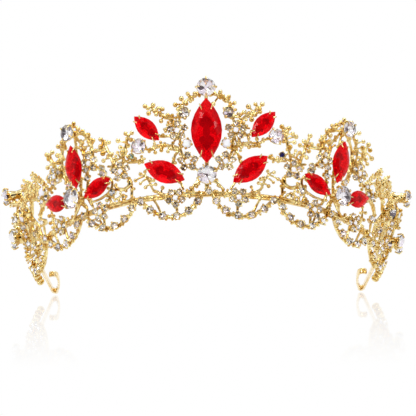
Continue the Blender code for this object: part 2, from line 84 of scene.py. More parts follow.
# Places of the stones: (along, up, turn above the band).
CREST_FOOT_UP = 5.9
CENTRE_UP = 23.6
FINIAL_UP = 41.3
UPPER = {"left": (21.4, 26.4, 49), "right": (20.3, 27.4, 51)}
LOWER = {"left": (15.8, 8.0, 27), "right": (16.2, 8.8, 41)}
SHOULDER = {"left": (24.9, 19.7), "right": (25.3, 23.2)}
UPRIGHT = {"left": (53.3, 18.4, 91), "right": (53.6, 19.4, 86)}
INNER = {"left": (43.8, 6.9, 161), "right": (44.0, 7.5, 158)}
OUTER = {"left": (65.6, 7.2, 17), "right": (65.6, 7.8, 22)}
SPIRE = {"left": (53.2, 32.6), "right": (54.8, 33.6)}
SIDE_ROUND = (54.7, 5.4)
END_FINIAL = {"left": (103.5, 27.7), "right": (103.5, 25.0)}
END_ROUND = {"left": (110.0, 11.2), "right": (110.0, 7.4)}
END_MIDDLE = (93.0, 13.0)
FLOWERS = {
    "upper_flower": (10.5, 24.5), "lower_flower": (7.0, 11.6), "junction_flower": (33.4, 11.2),
    "side_inner_flower": (46.6, 17.9), "side_outer_flower": (65.0, 18.6),
}
CENTRE_OUT = 4.0
NAVETTE_OUT = 3.1
CREST_OUT = 3.8
SHOULDER_OUT = 3.6
SPIRE_OUT = 4.2
SIDE_ROUND_OUT = 6.0
END_ROUND_OUT = 6.4
FLOWER_OUT = 2.3

SCALLOP_STARTS = (2.0, 28.8, 55.8, 82.8)
SCALLOP_WIDTH = 25.4
SCALLOP_TOP = -0.75
SCALLOP_DROPS = ((1.6, -4.3), (5.3, -8.0), (10.2, -9.8), (15.8, -9.2), (20.8, -6.2), (24.4, -2.3))
SCALLOP_FLOWERS = ((10.3, -2.6), (15.6, -2.8), (11.4, -1.6), (11.0, -2.6))


# ---------------------------------------------------------------- finishes

# Sizes of the patterns, in mm.
TUMBLING_PATCH = 2.4
CASTING_PIT = 0.35
FOIL_GRAIN = 0.5


def linear(hex_colour):
    """A linear RGBA colour from an sRGB hex value."""
    srgb = np.array([int(hex_colour[i:i + 2], 16) for i in (1, 3, 5)]) / 255
    return (*np.where(srgb <= 0.04045, srgb / 12.92, ((srgb + 0.055) / 1.055) ** 2.4), 1.0)


def add_node(tree, kind, inputs=(), links=(), **settings):
    """Add a node with its settings, its input values and the sockets that feed it."""
    made = tree.nodes.new(kind)
    for name, value in settings.items():
        setattr(made, name, value)
    for socket, value in dict(inputs).items():
        made.inputs[socket].default_value = value
    for socket, source in dict(links).items():
        tree.links.new(source, made.inputs[socket])
    return made


def new_finish(name, **surface_values):
    """A material with its shader's values set, and the object coordinates that patterns read."""
    material = bpy.data.materials.new(name)
    material.use_nodes = True
    tree = material.node_tree
    surface = tree.nodes["Principled BSDF"]
    for socket, value in surface_values.items():
        surface.inputs[socket.replace("_", " ")].default_value = value
    place = add_node(tree, "ShaderNodeTexCoord").outputs["Object"]
    return material, tree, surface, place


def polished_gold_plate(name, light, deep, ripple_mm, ripple_depth_mm, smooth, rough):
    """Brass cast in rubber moulds, tumbled and flash-plated with gold under a clear lacquer.

    The eye sees a bright yellow mirror with soft ripples from the casting, slightly duller
    patches where tumbling didn't reach, and small white glints from the lacquer.
    """
    material, tree, surface, place = new_finish(
        name, Metallic=1.0, Coat_Weight=0.35, Coat_Roughness=0.06)
    patches = add_node(tree, "ShaderNodeTexNoise", {"Scale": 1 / (TUMBLING_PATCH * MM), "Detail": 3.0},
                       {"Vector": place})
    ripples = add_node(tree, "ShaderNodeTexNoise", {"Scale": 1 / (ripple_mm * MM), "Detail": 2.0},
                       {"Vector": place})
    pits = add_node(tree, "ShaderNodeTexNoise", {"Scale": 1 / (CASTING_PIT * MM), "Detail": 1.0},
                    {"Vector": place})
    tone = add_node(tree, "ShaderNodeMapRange", {1: 0.35, 2: 0.65}, {0: patches.outputs[0]})
    colour = add_node(tree, "ShaderNodeMix", {6: linear(light), 7: linear(deep)},
                      {0: tone.outputs[0]}, data_type="RGBA")
    dull = add_node(tree, "ShaderNodeMapRange", {1: 0.35, 2: 0.7, 3: smooth, 4: rough},
                    {0: pits.outputs[0]})
    relief = add_node(tree, "ShaderNodeBump", {"Strength": 1.0, "Distance": ripple_depth_mm * MM},
                      {"Height": ripples.outputs[0]})
    tree.links.new(colour.outputs[2], surface.inputs["Base Color"])
    tree.links.new(dull.outputs[0], surface.inputs["Roughness"])
    tree.links.new(relief.outputs[0], surface.inputs["Normal"])
    return material


def pressed_glass(name, colour, tint, tint_mm, index, clearness):
    """Pressed and fire-polished glass: sharp facets, a very smooth skin and faint flow streaks.
    The red is full of colour: the eye sees its own body as well as the foil behind, and its
    index is kept low so that white glints don't wash it out."""
    material, tree, surface, place = new_finish(name, IOR=index, Transmission_Weight=clearness)
    streaks = add_node(tree, "ShaderNodeTexNoise", {"Scale": 1 / (tint_mm * MM), "Detail": 2.0},
                       {"Vector": place})
    mixed = add_node(tree, "ShaderNodeMix", {6: linear(colour), 7: linear(tint)},
                     {0: streaks.outputs[0]}, data_type="RGBA")
    skin_wear = add_node(tree, "ShaderNodeMapRange", {1: 0.4, 2: 0.8, 3: 0.0, 4: 0.03},
                         {0: streaks.outputs[0]})
    tree.links.new(mixed.outputs[2], surface.inputs["Base Color"])
    tree.links.new(skin_wear.outputs[0], surface.inputs["Roughness"])
    return material


def mirror_foil(name, painted_facet_shades, rough, metallic=1.0):
    """Foil burned on behind the glass, with a faint grain. Each facet gets a painted shade, lighter or
    darker, for a cut stone's glints and dark reflections.
    """
    material, tree, surface, place = new_finish(name, Metallic=metallic)
    # Painted light: each facet's random number picks a lighter or darker foil shade, standing in for
    # reflections.
    facet = add_node(tree, "ShaderNodeAttribute", attribute_name="facet")
    ramp = add_node(tree, "ShaderNodeValToRGB", links={0: facet.outputs["Fac"]})
    ramp.color_ramp.interpolation = "CONSTANT"
    steps = ramp.color_ramp.elements
    while len(steps) < len(painted_facet_shades):
        steps.new(0.5)
    for i, shade in enumerate(painted_facet_shades):
        steps[i].position = i / len(painted_facet_shades)
        steps[i].color = linear(shade)
    grain = add_node(tree, "ShaderNodeTexNoise", {"Scale": 1 / (FOIL_GRAIN * MM), "Detail": 1.0},
                     {"Vector": place})
    dull = add_node(tree, "ShaderNodeMapRange", {1: 0.3, 2: 0.7, 3: rough * 0.5, 4: rough},
                    {0: grain.outputs[0]})
    tree.links.new(ramp.outputs[0], surface.inputs["Base Color"])
    tree.links.new(dull.outputs[0], surface.inputs["Roughness"])
    return material


def milk_glass(name, colours, cloud_mm):
    """Milky opal glass: cloudy, a little translucent, with soft pastel patches and a wet gloss."""
    material, tree, surface, place = new_finish(
        name, IOR=1.5, Transmission_Weight=0.12, Coat_Weight=0.6, Coat_Roughness=0.03, Roughness=0.12)
    clouds = add_node(tree, "ShaderNodeTexNoise", {"Scale": 1 / (cloud_mm * MM), "Detail": 2.0},
                      {"Vector": place})
    facet = add_node(tree, "ShaderNodeAttribute", attribute_name="facet")
    mixed = add_node(tree, "ShaderNodeMix", {6: linear(colours[0]), 7: linear(colours[1])},
                     {0: clouds.outputs[0]}, data_type="RGBA")
    flash = add_node(tree, "ShaderNodeMix", {7: linear(colours[2])},
                     {0: facet.outputs["Fac"], 6: mixed.outputs[2]}, data_type="RGBA")
    tree.links.new(flash.outputs[2], surface.inputs["Base Color"])
    return material


CAST_GOLD = polished_gold_plate("cast_brass_gold_plated", "#FFF1B4", "#CE9C38", 1.3, 0.03,
                                0.03, 0.15)
ROLLED_GOLD = polished_gold_plate("rolled_brass_strip_gold_plated", "#FFEFC8", "#EBCB86", 2.5, 0.02,
                                  0.14, 0.28)
RED_GLASS = pressed_glass("red_pressed_glass", "#F60818", "#E00614", 3.0, 1.19, 0.72)
# The foils' hues are their own, but their lighter and darker facet shades are painted glints and dark
# reflections.
RED_FOIL = mirror_foil("red_foiled_pavilion", (
    "#FFA0A0", "#F88088", "#FFC0C0", "#FF9096", "#B83440", "#FFB0B4", "#E86870"), 0.38, 0.6)
# Painted shade: the keel's foil is dark red, standing in for the dark reflection down a navette's middle.
RED_KEEL_PAINTED_SHADE = mirror_foil("red_keel_foil_with_painted_shade", ("#8C141E", "#7A1018", "#981822"), 0.45, 0.5)
CLEAR_GLASS = pressed_glass("clear_pressed_crystal", "#FFFFFF", "#F6F4FA", 2.0, 1.54, 1.0)
SILVER_FOIL = mirror_foil("silver_foiled_pavilion", (
    "#FFFFFF", "#FFFFFF", "#F4EEF4", "#6E6066", "#FFFFFF", "#FFF8EC", "#FFFFFF", "#FAF0F8"), 0.16, 0.9)
OPAL_GLASS = milk_glass("opal_milk_glass", ("#FFFFFF", "#EAF6F4", "#F2EDFB"), 1.2)
RAINBOW_FOIL = mirror_foil("rainbow_coated_pavilion", (
    "#CFE9E2", "#DCEFD2", "#E9DDF2", "#BFD9EE", "#F2E8D8"), 0.10)
BLUE_FOIL = mirror_foil("sapphire_foiled_pavilion", (
    "#2A2C8C", "#11124E", "#4A4FC0", "#1A1B66"), 0.10)


# ---------------------------------------------------------------- places

def unit(vectors):
    """Vectors scaled to a length of 1 along their last axis."""
    return vectors / np.linalg.norm(vectors, axis=-1, keepdims=True)


def on_face(places):
    """Places on the face to metres: a cone about the head's axis, leaned back by the wear tilt.

    Radius is the head radius plus up times sine of the flare plus out times its cosine, and
    height is up times its cosine less out times its sine. The angle is along over the radius.
    """
    along, up, out = np.moveaxis(np.asarray(places, float), -1, 0)
    angle = along / HEAD_RADIUS
    radius = HEAD_RADIUS + up * math.sin(FLARE) + out * math.cos(FLARE)
    height = up * math.cos(FLARE) - out * math.sin(FLARE)
    return leaned(np.stack([radius * np.sin(angle), -radius * np.cos(angle), height], -1) * MM)


def leaned(points):
    """Points in the head circle's own frame, turned about X to how the tiara is worn."""
    x, y, z = np.moveaxis(points, -1, 0)
    return np.stack([x, y * math.cos(WEAR_TILT) + z * math.sin(WEAR_TILT),
                     z * math.cos(WEAR_TILT) - y * math.sin(WEAR_TILT)], -1)


def face_axes(places):
    """Unit directions along, up and out of the face at places, as (..., 3 axes, 3)."""
    angle = np.asarray(places, float)[..., 0] / HEAD_RADIUS
    sin, cos, zero = np.sin(angle), np.cos(angle), np.zeros_like(angle)
    up = np.stack([math.sin(FLARE) * sin, -math.sin(FLARE) * cos, zero + math.cos(FLARE)], -1)
    out = np.stack([math.cos(FLARE) * sin, -math.cos(FLARE) * cos, zero - math.sin(FLARE)], -1)
    return np.stack([leaned(np.stack([cos, sin, zero], -1)), leaned(up), leaned(out)], -2)


def seats(places, turns=0.0, wobble=0.0):
    """Origins and axes for things set on the face, turned about its outward direction.

    X is cosine of the turn times along plus sine times up, Z is out of the face, and a wobble
    leans each one by a small random amount, as a hand-set stone leans.
    """
    places = np.atleast_2d(np.asarray(places, float))
    turn = np.radians(np.broadcast_to(np.asarray(turns, float), len(places)))[:, None]
    along, up, out = np.moveaxis(face_axes(places), -2, 0)
    lean = rng.normal(0, 1, (len(places), 2)) * wobble
    z = unit(out + lean[:, :1] * along + lean[:, 1:] * up)
    x = np.cos(turn) * along + np.sin(turn) * up
    x = unit(x - (x * z).sum(1, keepdims=True) * z)
    return on_face(places), np.stack([x, np.cross(z, x), z], 1)


def along_axis(place, distance):
    """A point on a navette's long axis, from its middle towards its upper or outer end."""
    turn = math.radians(place[2])
    return place[0] + distance * math.cos(turn), place[1] + distance * math.sin(turn)


def sided(side, places, out=0.0):
    """Two- or three-number places, taken to one side of the front, with a usual out."""
    full = np.array([(*place, out)[:3] for place in places], float)
    return full * (side, 1, 1)


def smooth_route(places, step=0.7):
    """A smooth line through places: cubics whose slope at each place joins its neighbours,
    then points at even distances along it."""
    p = np.asarray(places, float)
    p = np.vstack([2 * p[0] - p[1], p, 2 * p[-1] - p[-2]])
    t = np.linspace(0, 1, 12, endpoint=False)[None, :, None]
    a, b, c, d = p[:-3, None], p[1:-2, None], p[2:-1, None], p[3:, None]
    curve = 0.5 * (2 * b + (c - a) * t + (2 * a - 5 * b + 4 * c - d) * t ** 2
                   + (3 * b - a - 3 * c + d) * t ** 3)
    curve = np.vstack([curve.reshape(-1, p.shape[1]), p[-2]])
    reach = np.concatenate([[0], np.cumsum(np.linalg.norm(np.diff(curve, axis=0), axis=1))])
    even = np.linspace(0, reach[-1], max(3, round(reach[-1] / step) + 1))
    return np.stack([np.interp(even, reach, column) for column in curve.T], -1)


# ---------------------------------------------------------------- shapes
# A shape is (points in metres, [(face corners, finish number, smooth)]).

def square_to(line):
    """Unit directions to the right of a flat line: its slope turned back by a quarter."""
    slope = unit(np.gradient(line, axis=0))
    return np.column_stack([slope[:, 1], -slope[:, 0]])


def skin(rows, columns, first_pole=False, last_pole=False):
    """Quads between the rows of a grid whose columns close round, and both ends closed by a
    flat face or by triangles to a pole. The poles come after the grid's points."""
    row = np.arange(rows - 1)[:, None] * columns
    here = np.arange(columns)[None]
    after = (here + 1) % columns
    faces = [np.stack([row + here, row + after, row + after + columns, row + here + columns],
                      -1).reshape(-1, 4)]
    here, after, last = here[0], after[0], (rows - 1) * columns
    if first_pole:
        faces.append(np.stack([after, here, np.full(columns, rows * columns)], -1))
    else:
        faces.append(here[None, ::-1])
    if last_pole:
        pole = rows * columns + int(first_pole)
        faces.append(np.stack([last + here, last + after, np.full(columns, pole)], -1))
    else:
        faces.append(last + here[None])
    return faces


def turned(profile, columns):
    """A profile of (radius, height) in mm turned about Z: x is radius times cosine, y radius
    times sine, z the height. A radius of 0 closes the shape on a pole."""
    profile = np.asarray(profile, float)
    pole = profile[:, 0] == 0
    radius, height = profile[~pole].T[:, :, None]
    angle = np.linspace(0, 2 * np.pi, columns, endpoint=False)
    grid = np.stack([radius * np.cos(angle), radius * np.sin(angle),
                     np.repeat(height, columns, 1)], -1).reshape(-1, 3)
    tips = np.stack([np.zeros(pole.sum()), np.zeros(pole.sum()), profile[pole, 1]], -1)
    faces = skin(len(radius), columns, pole[0], pole[-1])
    return np.vstack([grid, tips]) * MM, [(f, 0, True) for f in faces]


def rod(line, radii, across, sides=8):
    """A round rod: each ring is a point of the line plus the radius times cosine and sine of
    the angle in two directions square to the line. Two smaller rings round off each end."""
    line = np.asarray(line, float)
    radii = np.broadcast_to(np.asarray(radii, float), len(line))
    start = unit(line[0] - line[1]) * radii[0] * MM
    end = unit(line[-1] - line[-2]) * radii[-1] * MM
    line = np.vstack([line[0] + start * 0.95, line[0] + start * 0.6, line,
                      line[-1] + end * 0.6, line[-1] + end * 0.95])
    radii = np.concatenate([radii[0] * np.array([0.3, 0.8]), radii, radii[-1] * np.array([0.8, 0.3])])
    across = np.broadcast_to(across, (len(line) - 4, 3))
    across = np.vstack([across[:1], across[:1], across, across[-1:], across[-1:]])
    tangent = unit(np.gradient(line, axis=0))
    first = unit(np.cross(across, tangent))
    second = np.cross(tangent, first)
    angle = np.linspace(0, 2 * np.pi, sides, endpoint=False)[None, :, None]
    ring = np.cos(angle) * first[:, None] + np.sin(angle) * second[:, None]
    points = line[:, None] + ring * radii[:, None, None] * MM
    return points.reshape(-1, 3), [(f, 0, True) for f in skin(len(line), sides)]


def stem(side, places, thickness=STEM, out=0.0, tip=0.8):
    """A cast stem over the face. Its radius narrows to the tip and swells by a tenth in soft
    lumps, the sum of two sine waves of the distance along it."""
    route = smooth_route(sided(side, places, out))
    share = np.linspace(0, 1, len(route))
    wave = np.sin(share * len(route) * 1.9 + rng.uniform(0, 6)) + np.sin(share * len(route) * 0.83)
    radii = thickness / 2 * (1 + (tip - 1) * share) * (1 + STEM_LUMPS / 2 * wave)
    return rod(on_face(route), radii, face_axes(route)[:, 2], 8)


def copies(shape, origins, axes, sizes=1.0):
    """A shape repeated at origins: each point is the origin plus its x, y and z times the axes."""
    points, faces = shape
    sizes = np.broadcast_to(np.asarray(sizes, float), len(origins))
    moved = np.einsum("pi,nij->npj", points, axes) * sizes[:, None, None] + origins[:, None]
    shift = (np.arange(len(origins)) * len(points))[:, None, None]
    return moved.reshape(-1, 3), [((f[None] + shift).reshape(-1, f.shape[1]), finish, smooth)
                                  for f, finish, smooth in faces]


def outline(angle, length, width, pointed):
    """Half the length times cosine, and half the width times sine, or times sine times its own
    size for a navette, which makes two pointed ends."""
    across = np.sin(angle) * (np.abs(np.sin(angle)) if pointed else 1)
    return np.stack([length / 2 * np.cos(angle), width / 2 * across], -1)


def cut_stone(size, pointed, sides=8, table=0.56, keel=(0.42, 0.24)):
    """A stone of six rings: table, crown middle, both girdle edges, pavilion middle and keel.

    Rings of `sides` points alternate with girdle rings of twice as many, half a step apart,
    so that the facets between them are stars, kites and triangles. Finish 0 is the clear
    glass of the crown and girdle, finish 1 the foil behind the pavilion, and finish 2 the
    foil of the flat keel. The keel's length and width are shares of the stone's.
    """
    length, width, crown, pavilion = size
    whole = 2 * np.pi * np.arange(sides) / sides
    half = whole + np.pi / sides
    double = np.pi * np.arange(2 * sides) / sides
    rings = ((whole, table, GIRDLE + crown), (half, 0.79, GIRDLE + 0.58 * crown),
             (double, 1.0, GIRDLE), (double, 1.0, 0.0),
             (half, 0.62, -0.5 * pavilion), (whole, keel, -pavilion))
    points = np.vstack([np.column_stack([outline(angle, *np.multiply((length, width), reach), pointed),
                                         np.full(len(angle), height)])
                        for angle, reach, height in rings])
    k = np.arange(sides)
    n, before, after = sides, (k - 1) % sides, (k + 1) % sides
    top, middle, upper, lower, deep, bottom = 0, n, 2 * n, 4 * n, 6 * n, 7 * n
    edge, next_edge, far_edge = 2 * k, 2 * k + 1, (2 * k + 2) % (2 * n)
    glass = [np.arange(n)[None],
             np.stack([top + k, middle + k, top + after], -1),
             np.stack([top + k, middle + before, upper + edge, middle + k], -1),
             np.stack([middle + k, upper + edge, upper + next_edge], -1),
             np.stack([middle + k, upper + next_edge, upper + far_edge], -1)]
    j = np.arange(2 * n)
    j_after = (j + 1) % (2 * n)
    glass.append(np.stack([lower + j, lower + j_after, upper + j_after, upper + j], -1))
    foil = [np.stack([deep + k, lower + next_edge, lower + edge], -1),
            np.stack([deep + k, lower + far_edge, lower + next_edge], -1),
            np.stack([bottom + k, deep + k, lower + edge, deep + before], -1),
            np.stack([bottom + k, bottom + after, deep + k], -1)]
    keel_face = (bottom + np.arange(n))[None, ::-1]
    return points * MM, ([(f, 0, False) for f in glass] + [(f, 1, False) for f in foil]
                         + [(keel_face, 2, False)])


def chip_stone():
    """A small stone of unit diameter: a table, a zigzag of crown facets, a girdle and a cone."""
    sides = 8
    whole = 2 * np.pi * np.arange(sides) / sides
    half = whole + np.pi / sides
    rings = ((whole, 0.28, 0.2), (half, 0.5, 0.08), (half, 0.5, 0.0))
    points = np.vstack([np.column_stack([r * np.cos(a), r * np.sin(a), np.full(sides, h)])
                        for a, r, h in rings] + [[[0, 0, -0.30]]])
    k = np.arange(sides)
    after, before = (k + 1) % sides, (k - 1) % sides
    glass = [k[None], np.stack([k, sides + k, after], -1),
             np.stack([k, sides + before, sides + k], -1),
             np.stack([2 * sides + k, 2 * sides + after, sides + after, sides + k], -1)]
    foil = [np.stack([2 * sides + after, 2 * sides + k, np.full(sides, 3 * sides)], -1)]
    return points * MM, [(f, 0, False) for f in glass] + [(f, 1, False) for f in foil]


# Small shapes that are copied many times. A berry, a bead and a grain have a radius of about
# 1 mm, and a cup and a stone a diameter of about 1 mm. The coil has its real size.
ROUND_ANGLES = np.linspace(0, 2 * np.pi, 13)
BERRY = turned([(0, -1), (0.59, -0.81), (0.95, -0.31), (0.95, 0.31), (0.59, 0.81), (0, 1)], 8)
BEAD = turned([(0, -1), (0.92, -0.3), (0.85, 0.5), (0, 1)], 6)
SMALL_CUP = turned([(0.33, -0.62), (0.54, -0.06), (0.57, 0.05), (0.47, 0.04), (0.2, -0.55)], 8)
CHIP = chip_stone()
GRAIN = turned([(0, -1.15), (0.52, -0.8), (0.78, 0.1), (0.6, 0.75), (0, 1.1)], 6)
COIL = rod(np.column_stack([np.cos(ROUND_ANGLES), np.sin(ROUND_ANGLES), 0 * ROUND_ANGLES]) * MM,
           0.75, (0, 0, 1), 6)


def make_piece(name, shapes, finishes, slot, *nodes):
    """Join shapes into one mesh, give each face its finish and its own facet shade, and let
    the piece ride on the tiara and stand for its CAD nodes."""
    points = np.vstack([shape[0] for shape in shapes])
    starts = np.cumsum([0] + [len(shape[0]) for shape in shapes[:-1]])
    groups = [(faces + start, finish, smooth) for (_, parts), start in zip(shapes, starts)
              for faces, finish, smooth in parts]
    sizes = np.concatenate([np.full(len(f), f.shape[1]) for f, _, _ in groups])
    corners = np.concatenate([f.ravel() for f, _, _ in groups])
    mesh = bpy.data.meshes.new(name)
    mesh.vertices.add(len(points))
    mesh.vertices.foreach_set("co", points.ravel())
    mesh.loops.add(len(corners))
    mesh.loops.foreach_set("vertex_index", corners.astype(np.int32))
    mesh.polygons.add(len(sizes))
    mesh.polygons.foreach_set("loop_start",
                              np.concatenate([[0], np.cumsum(sizes)[:-1]]).astype(np.int32))
    mesh.update(calc_edges=True)
    mesh.polygons.foreach_set("material_index", np.concatenate(
        [np.full(len(f), finish) for f, finish, _ in groups]).astype(np.int32))
    mesh.polygons.foreach_set("use_smooth", np.concatenate(
        [np.full(len(f), smooth) for f, _, smooth in groups]))
    # A random number per face; in the foils it picks a painted light or dark shade.
    facet = mesh.attributes.new("facet", "FLOAT", "FACE")
    facet.data.foreach_set("value", rng.uniform(0, 1, len(sizes)).astype(np.float32))
    for finish in finishes:
        mesh.materials.append(finish)
    piece = bpy.data.objects.new(name, mesh)
    bpy.context.scene.collection.objects.link(piece)
    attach(piece, "root")
    if nodes:
        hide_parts(*nodes)


def gold_piece(name, shapes, *nodes):
    """A piece of cast and plated metal."""
    make_piece(name, shapes, (CAST_GOLD,), "gold_plate", *nodes)


def crystal_piece(name, shapes, glass=CLEAR_GLASS, foil=SILVER_FOIL):
    """Small stones with their glass above and their foil behind."""
    make_piece(name, shapes, (glass, foil), "clear_crystal")


# ---------------------------------------------------------------- sprays and settings

def berries(places, diameter):
    """Round berries at places on the face, each a little different in size."""
    origins, axes = seats(places)
    sizes = diameter / 2 * rng.uniform(0.85, 1.12, len(origins))
    return copies(BERRY, origins, axes, sizes)


def spray(side, stem_places, berry_places, berry=2.05):
    """A stem with twigs: each twig runs from the stem's nearest point to its own berry, which
    stands out from the face by its own amount. Fine grains sit along the stem."""
    out = 0.5
    route = smooth_route(sided(side, stem_places, out))
    shapes = [stem(side, stem_places, THIN_STEM, out)]
    places = sided(side, berry_places, out)
    places[:, 2] += rng.uniform(-0.6, 1.3, len(places)) * 0.7
    gaps = np.linalg.norm(route[None, :, :2] - places[:, None, :2], axis=2)
    nearest = route[gaps.argmin(1)]
    for foot, tip in zip(nearest, places):
        middle = (foot + tip) / 2 + (0, 0.15, 0.2)
        line = smooth_route([foot, middle, tip], 0.8)
        shapes.append(rod(on_face(line), np.linspace(TWIG, TWIG * 0.8, len(line)) / 2,
                          face_axes(line)[:, 2] + face_axes(line)[:, 1] * 0.2, 5))
    shapes.append(berries(places, berry))
    count = max(3, len(route) // 2)
    grains = route[rng.integers(1, len(route), count)]
    grains = grains + rng.uniform(-0.55, 0.55, (count, 3)) * (1, 1, 0.6)
    shapes.append(berries(grains, berry * 0.74))
    return shapes


def sprays(side, rows):
    """Several sprays, each a row of its stem, its berries' places and, where it isn't the usual
    one, their diameter."""
    return [shape for row in rows for shape in spray(side, *row)]


def buds(side, routes, diameter=1.5, gap=1.35):
    """Small berries cast on the sides of stems: a place every gap along each stem, moved
    sideways by its own random amount so that it still touches the stem."""
    lines = [smooth_route(sided(side, route), gap)[1:-1] for route in routes]
    places = np.vstack([line for line in lines if len(line)])
    shift = rng.uniform(-1, 1, (len(places), 3)) * (1.15, 1.15, 0.3) + (0, 0, 0.35)
    return [berries(places + shift, diameter)]


def fern(side, stem_places, leaf):
    """A stem with pairs of long grains that lean forwards off both of its sides."""
    out, gap = 0.4, 1.6
    route = smooth_route(sided(side, stem_places, out), gap)
    heading = np.gradient(route[:, :2], axis=0)
    turn = np.degrees(np.arctan2(heading[:, 1], heading[:, 0]))
    shapes = [stem(side, stem_places, THIN_STEM, out)]
    for lean in (-52, 52):
        direction = np.radians(turn + lean)
        size = 0.8 * leaf * rng.uniform(0.85, 1.15, len(route))
        rise = 0.35 + 0.3 * rng.uniform(-1, 1, len(route))
        reach = np.column_stack([np.cos(direction), np.sin(direction), rise])
        centre = route + reach * size[:, None] * 1.2
        origins, axes = seats(centre, turn + lean, 0.25)
        # The grain's long axis is its Z, so Z goes where the setting's X points.
        shapes.append(copies(GRAIN, origins, axes[:, [2, 1, 0]] * ((1,), (-1,), (1,)), size))
    return shapes


def small_stones(places, diameter, wobble=0.12):
    """Small stones in cups with four bead claws: the metal's shapes and the stones' shapes."""
    origins, axes = seats(places, rng.uniform(0, 90, len(places)), wobble)
    metal = [copies(SMALL_CUP, origins, axes, diameter)]
    for quarter in np.radians((45, 135, 225, 315)):
        reach = np.array([math.cos(quarter), math.sin(quarter), 0.26]) * 0.53 * diameter * MM
        beads = origins + np.einsum("i,nij->nj", reach, axes)
        metal.append(copies(BEAD, beads, axes, 0.17 * diameter))
    return metal, [copies(CHIP, origins, axes, diameter)]


def claw(size, angle, pointed, width=0.5):
    """A claw in a stone's own frame: up beside the girdle and in over the crown."""
    length, across, crown, pavilion = size
    line = []
    for reach, room, height in ((1.0, 0.25, -0.6 * pavilion), (1.0, 0.42, -0.1),
                                (1.0, 0.38, GIRDLE + 0.15), (0.93, 0.1, GIRDLE + 0.42),
                                (0.80, 0.0, GIRDLE + 0.58 * crown + 0.22)):
        edge = outline(np.array([angle, angle + 0.01]), length * reach, across * reach, pointed)
        tangent = unit(edge[1] - edge[0])
        away = np.array([tangent[1], -tangent[0]])
        shift = -0.4 * (1 - GIRDLE) if height < -0.2 else 0.0
        line.append((*(edge[0] + away * (room + shift)), height))
    line = smooth_route(line, 0.4)
    radii = np.interp(np.linspace(0, 1, len(line)), (0, 0.7, 1), (width, width, width * 0.8)) / 2
    return rod(line * MM, radii, (*tangent, 0.0), 6)


def collar(size, out):
    """A navette's open-backed collar: the stone's outline, drawn in as the pavilion narrows,
    carried round a thin profile with a rounded lip."""
    length, across, _crown, pavilion = size
    foot = max(BACK_OUT - out, -pavilion)
    profile = ((foot, 0.45), (-0.30 * pavilion, 0.5), (-0.2 * pavilion, 0.42),
               (-0.22 * pavilion, 0.2), (-0.4 * pavilion, 0.08), (foot, 0.0))
    columns = 48
    angle = np.linspace(0, 2 * np.pi, columns, endpoint=False)
    rows = []
    for height, room in profile:
        share = 1 + 0.74 / pavilion * height
        edge = outline(angle, length * share + 2 * room, across * share + 2 * room, True)
        rows.append(np.column_stack([edge, np.full(columns, height)]))
    row = np.arange(len(profile))[:, None] * columns
    here, count = np.arange(columns)[None], len(profile) * columns
    after = (here + 1) % columns
    faces = np.stack([row + here, row + after, (row + after + columns) % count,
                      (row + here + columns) % count], -1).reshape(-1, 4)
    return np.vstack(rows) * MM, [(faces, 0, True)]


def goblet(size, out, waist, cover):
    """A raised cup for a round stone: a foot, a waist, a flared bowl with a lip, and a pocket.
    Cover is how much of the way out to the girdle the bowl reaches."""
    radius, pavilion = size[1] / 2, size[3]
    floor = -pavilion - 0.3
    foot = -0.35 - out
    pocket = radius * 0.86 * cover
    lip = -0.28 - pavilion * (1 - cover)
    return turned([(0, foot), (waist + 0.5, foot), (waist + 0.35, foot + 0.5),
                   (waist, (foot + floor) / 2), (waist + 0.45, floor - 0.1),
                   (pocket * 0.75 + 0.3, floor + 0.4 * cover), (pocket + 0.45, lip - 0.45),
                   (pocket + 0.62, lip - 0.08), (pocket + 0.3, lip), (pocket * 0.5, floor + 0.5),
                   (0, floor + 0.1)], 24)


def placed(shape, place, out, side=1):
    """A shape in a setting's own frame, moved to its place on the face."""
    turn = side * place[2] if len(place) > 2 else 0.0
    return copies(shape, *seats([(side * place[0], place[1], out)], turn))


def set_round(name, size, place, out, side=1, turn=45, waist=1.0, cover=1.0):
    """A round stone, and the goblet with its four claws that goes into the casting."""
    make_piece(name + "_stone_cut", [placed(cut_stone(size, False, 8, 0.5, 0.16), place, out, side)],
               (CLEAR_GLASS, SILVER_FOIL, SILVER_FOIL), "clear_crystal", name + "_stone")
    angles = np.radians(turn + 90 * np.arange(4))
    shapes = [goblet(size, out, waist, cover)] + [claw(size, a, False, 0.75) for a in angles]
    return [placed(shape, place, out, side) for shape in shapes]


def set_navette(name, size, place, out, side=1):
    """A navette stone, and its own collar with four claws near the points."""
    # The navette's keel takes the foil with the painted dark shade.
    make_piece(name + "_stone_cut", [placed(cut_stone(size, True, 12), place, out, side)],
               (RED_GLASS, RED_FOIL, RED_KEEL_PAINTED_SHADE), "red_glass", name + "_stone")
    shapes = [collar(size, out)] + [claw(size, np.radians(a), True) for a in (38, 142, 218, 322)]
    gold_piece(name + "_collar", [placed(shape, place, out, side) for shape in shapes],
               name + "_claw_cup")


